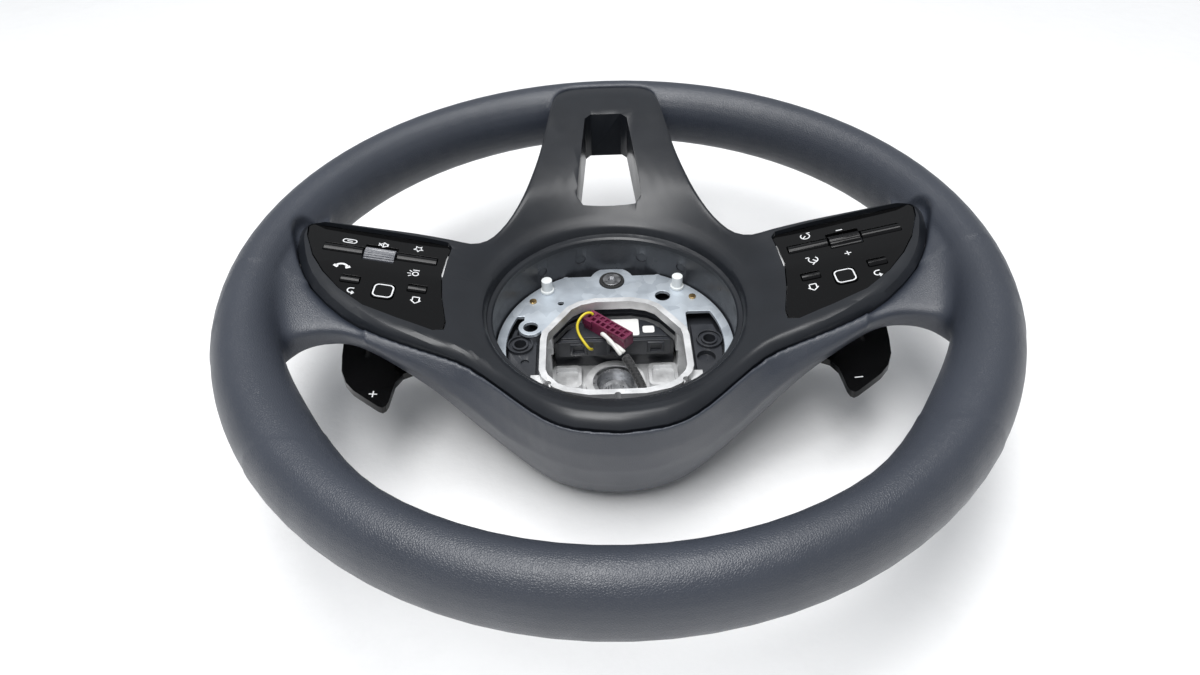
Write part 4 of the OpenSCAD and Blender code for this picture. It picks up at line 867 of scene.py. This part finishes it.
class WHEEL_OT_harness(bpy.types.Operator):
    """Plug, wires and woven sleeve, and the labels on the box"""
    bl_idname = "wheel.harness"
    bl_label = "Harness"

    def execute(self, context):
        dressed("connector")
        for node in ("yellow_wire", "white_wire", "harness_sleeve"):
            wire = dressed(node)
            rounder = wire.modifiers.new("rounder", "SUBSURF")
            rounder.levels = rounder.render_levels = 1
        for label in LABELS:
            self.label(*label)
        return {"FINISHED"}

    @staticmethod
    def label(name, middle, size):
        """A blank white sheet on top of the electronics box."""
        bm = bmesh.new()
        place = Matrix.Translation(Vector((*middle, LABEL_Z)) * MM)
        sheet = Matrix.Diagonal((size[0] * MM, size[1] * MM, INK_THICKNESS, 1))
        bmesh.ops.create_cube(bm, size=1, matrix=place @ sheet)
        upright = [edge for edge in bm.edges if edge.verts[0].co.z != edge.verts[1].co.z]
        bmesh.ops.bevel(
            bm, geom=upright, offset=LABEL_CORNER * MM, segments=3, profile=0.5,
            affect="EDGES", material=-1)
        finished(bm, name, LABEL, own_body("control_module"))


class WHEEL_OT_switches(bpy.types.Operator):
    """Gloss panels with their housings, mats, boards, rockers, keys, rollers and touch pads"""
    bl_idname = "wheel.switches"
    bl_label = "Switches"

    def execute(self, context):
        for side in ("_left", "_right"):
            for kind in (
                    "panel", "housing", "dome_mat", "board", "touch_pad", "rocker_inner",
                    "rocker_outer", "key_inner", "key_outer"):
                dressed(kind + side)
        for node in ("set_roller", "volume_roller", "volume_cradle"):
            dressed(node)
        return {"FINISHED"}


class WHEEL_OT_signs(bpy.types.Operator):
    """Printed signs by the switches, on the touch pads and on the paddles"""
    bl_idname = "wheel.signs"
    bl_label = "Signs"

    def execute(self, context):
        line = context.scene.wheel_print.line
        for side, word in ((LEFT, "left"), (RIGHT, "right")):
            bm = bmesh.new()
            for draw, u, v in SIGNS[side]:
                self.place(bm, draw, line, panel_matrix(side, u, v))
            finished(bm, "signs_" + word, INK, WHEEL)
            bm = bmesh.new()
            on_pad = panel_matrix(side, *PAD_AT, flat=True, lift=PAD_TOP)
            self.place(bm, sign_pad, line * PAD_LINE, on_pad, scale=1)
            finished(bm, "pad_outline_" + word, INK, own_body("touch_pad_" + word))
        for sign in PADDLE_SIGNS:
            self.paddle_sign(*sign, line * PADDLE_LINE)
        return {"FINISHED"}

    @staticmethod
    def place(bm, draw, line, matrix, scale=SIGN_SCALE):
        """Draws a sign, then scales and moves it without widening its lines."""
        before = set(bm.verts)
        draw(bm, line / scale)
        bmesh.ops.transform(
            bm, matrix=matrix @ Matrix.Diagonal((scale, scale, 1, 1)),
            verts=[v for v in bm.verts if v not in before])

    def paddle_sign(self, node, name, draw, at, line):
        """Prints a sign on the face of a paddle, over one point of the wheel's plane."""
        tree = BVHTree.FromObject(frame["nodes"][node], bpy.context.evaluated_depsgraph_get())
        point, normal, _, _ = tree.ray_cast(Vector((*at, ABOVE)), Vector((0, 0, -1)))
        if point is None:
            raise RuntimeError(f"no blade of {node} under its sign")
        up = Vector((0, -1, 0))
        right = up.cross(normal).normalized()
        matrix = Matrix((right, normal.cross(right), normal)).transposed().to_4x4()
        matrix.translation = point
        bm = bmesh.new()
        self.place(bm, draw, line, matrix, PADDLE_SCALE)
        finished(bm, name, INK, own_body(node))


class WHEEL_OT_paddles(bpy.types.Operator):
    """Shift paddles with their brackets and pins"""
    bl_idname = "wheel.paddles"
    bl_label = "Paddles"

    def execute(self, context):
        for side in ("_left", "_right"):
            for kind in ("paddle", "paddle_bracket", "paddle_pin"):
                dressed(kind + side)
        return {"FINISHED"}


class WHEEL_PT_sidebar(bpy.types.Panel):
    """Settings and steps of the steering wheel's dressing"""
    bl_idname = "WHEEL_PT_sidebar"
    bl_label = "Steering wheel"
    bl_space_type = "VIEW_3D"
    bl_region_type = "UI"
    bl_category = "Wheel"

    def draw(self, context):
        for setting in SETTINGS:
            group = getattr(context.scene, setting)
            box = self.layout.box()
            for name in group.__annotations__:
                box.prop(group, name)
        for step in STEPS:
            self.layout.operator(step.bl_idname)


STEPS = (
    WHEEL_OT_studio, WHEEL_OT_rim, WHEEL_OT_trim, WHEEL_OT_hub, WHEEL_OT_harness,
    WHEEL_OT_switches, WHEEL_OT_signs, WHEEL_OT_paddles,
)
SETTINGS = {
    "wheel_skin": WheelSkinSettings, "wheel_paint": WheelPaintSettings,
    "wheel_print": WheelPrintSettings,
}


def register():
    for kind in (*SETTINGS.values(), *STEPS, WHEEL_PT_sidebar):
        bpy.utils.register_class(kind)
    for name, kind in SETTINGS.items():
        setattr(bpy.types.Scene, name, PointerProperty(type=kind))


def unregister():
    for name in SETTINGS:
        delattr(bpy.types.Scene, name)
    for kind in reversed((*SETTINGS.values(), *STEPS, WHEEL_PT_sidebar)):
        bpy.utils.unregister_class(kind)


def main():
    register()
    mix_finishes(bpy.context.scene)
    bpy.ops.wheel.studio()
    bpy.ops.wheel.rim()
    bpy.ops.wheel.trim()
    bpy.ops.wheel.hub()
    bpy.ops.wheel.harness()
    bpy.ops.wheel.switches()
    bpy.ops.wheel.signs()
    bpy.ops.wheel.paddles()


if __name__ == "__main__":
    main()
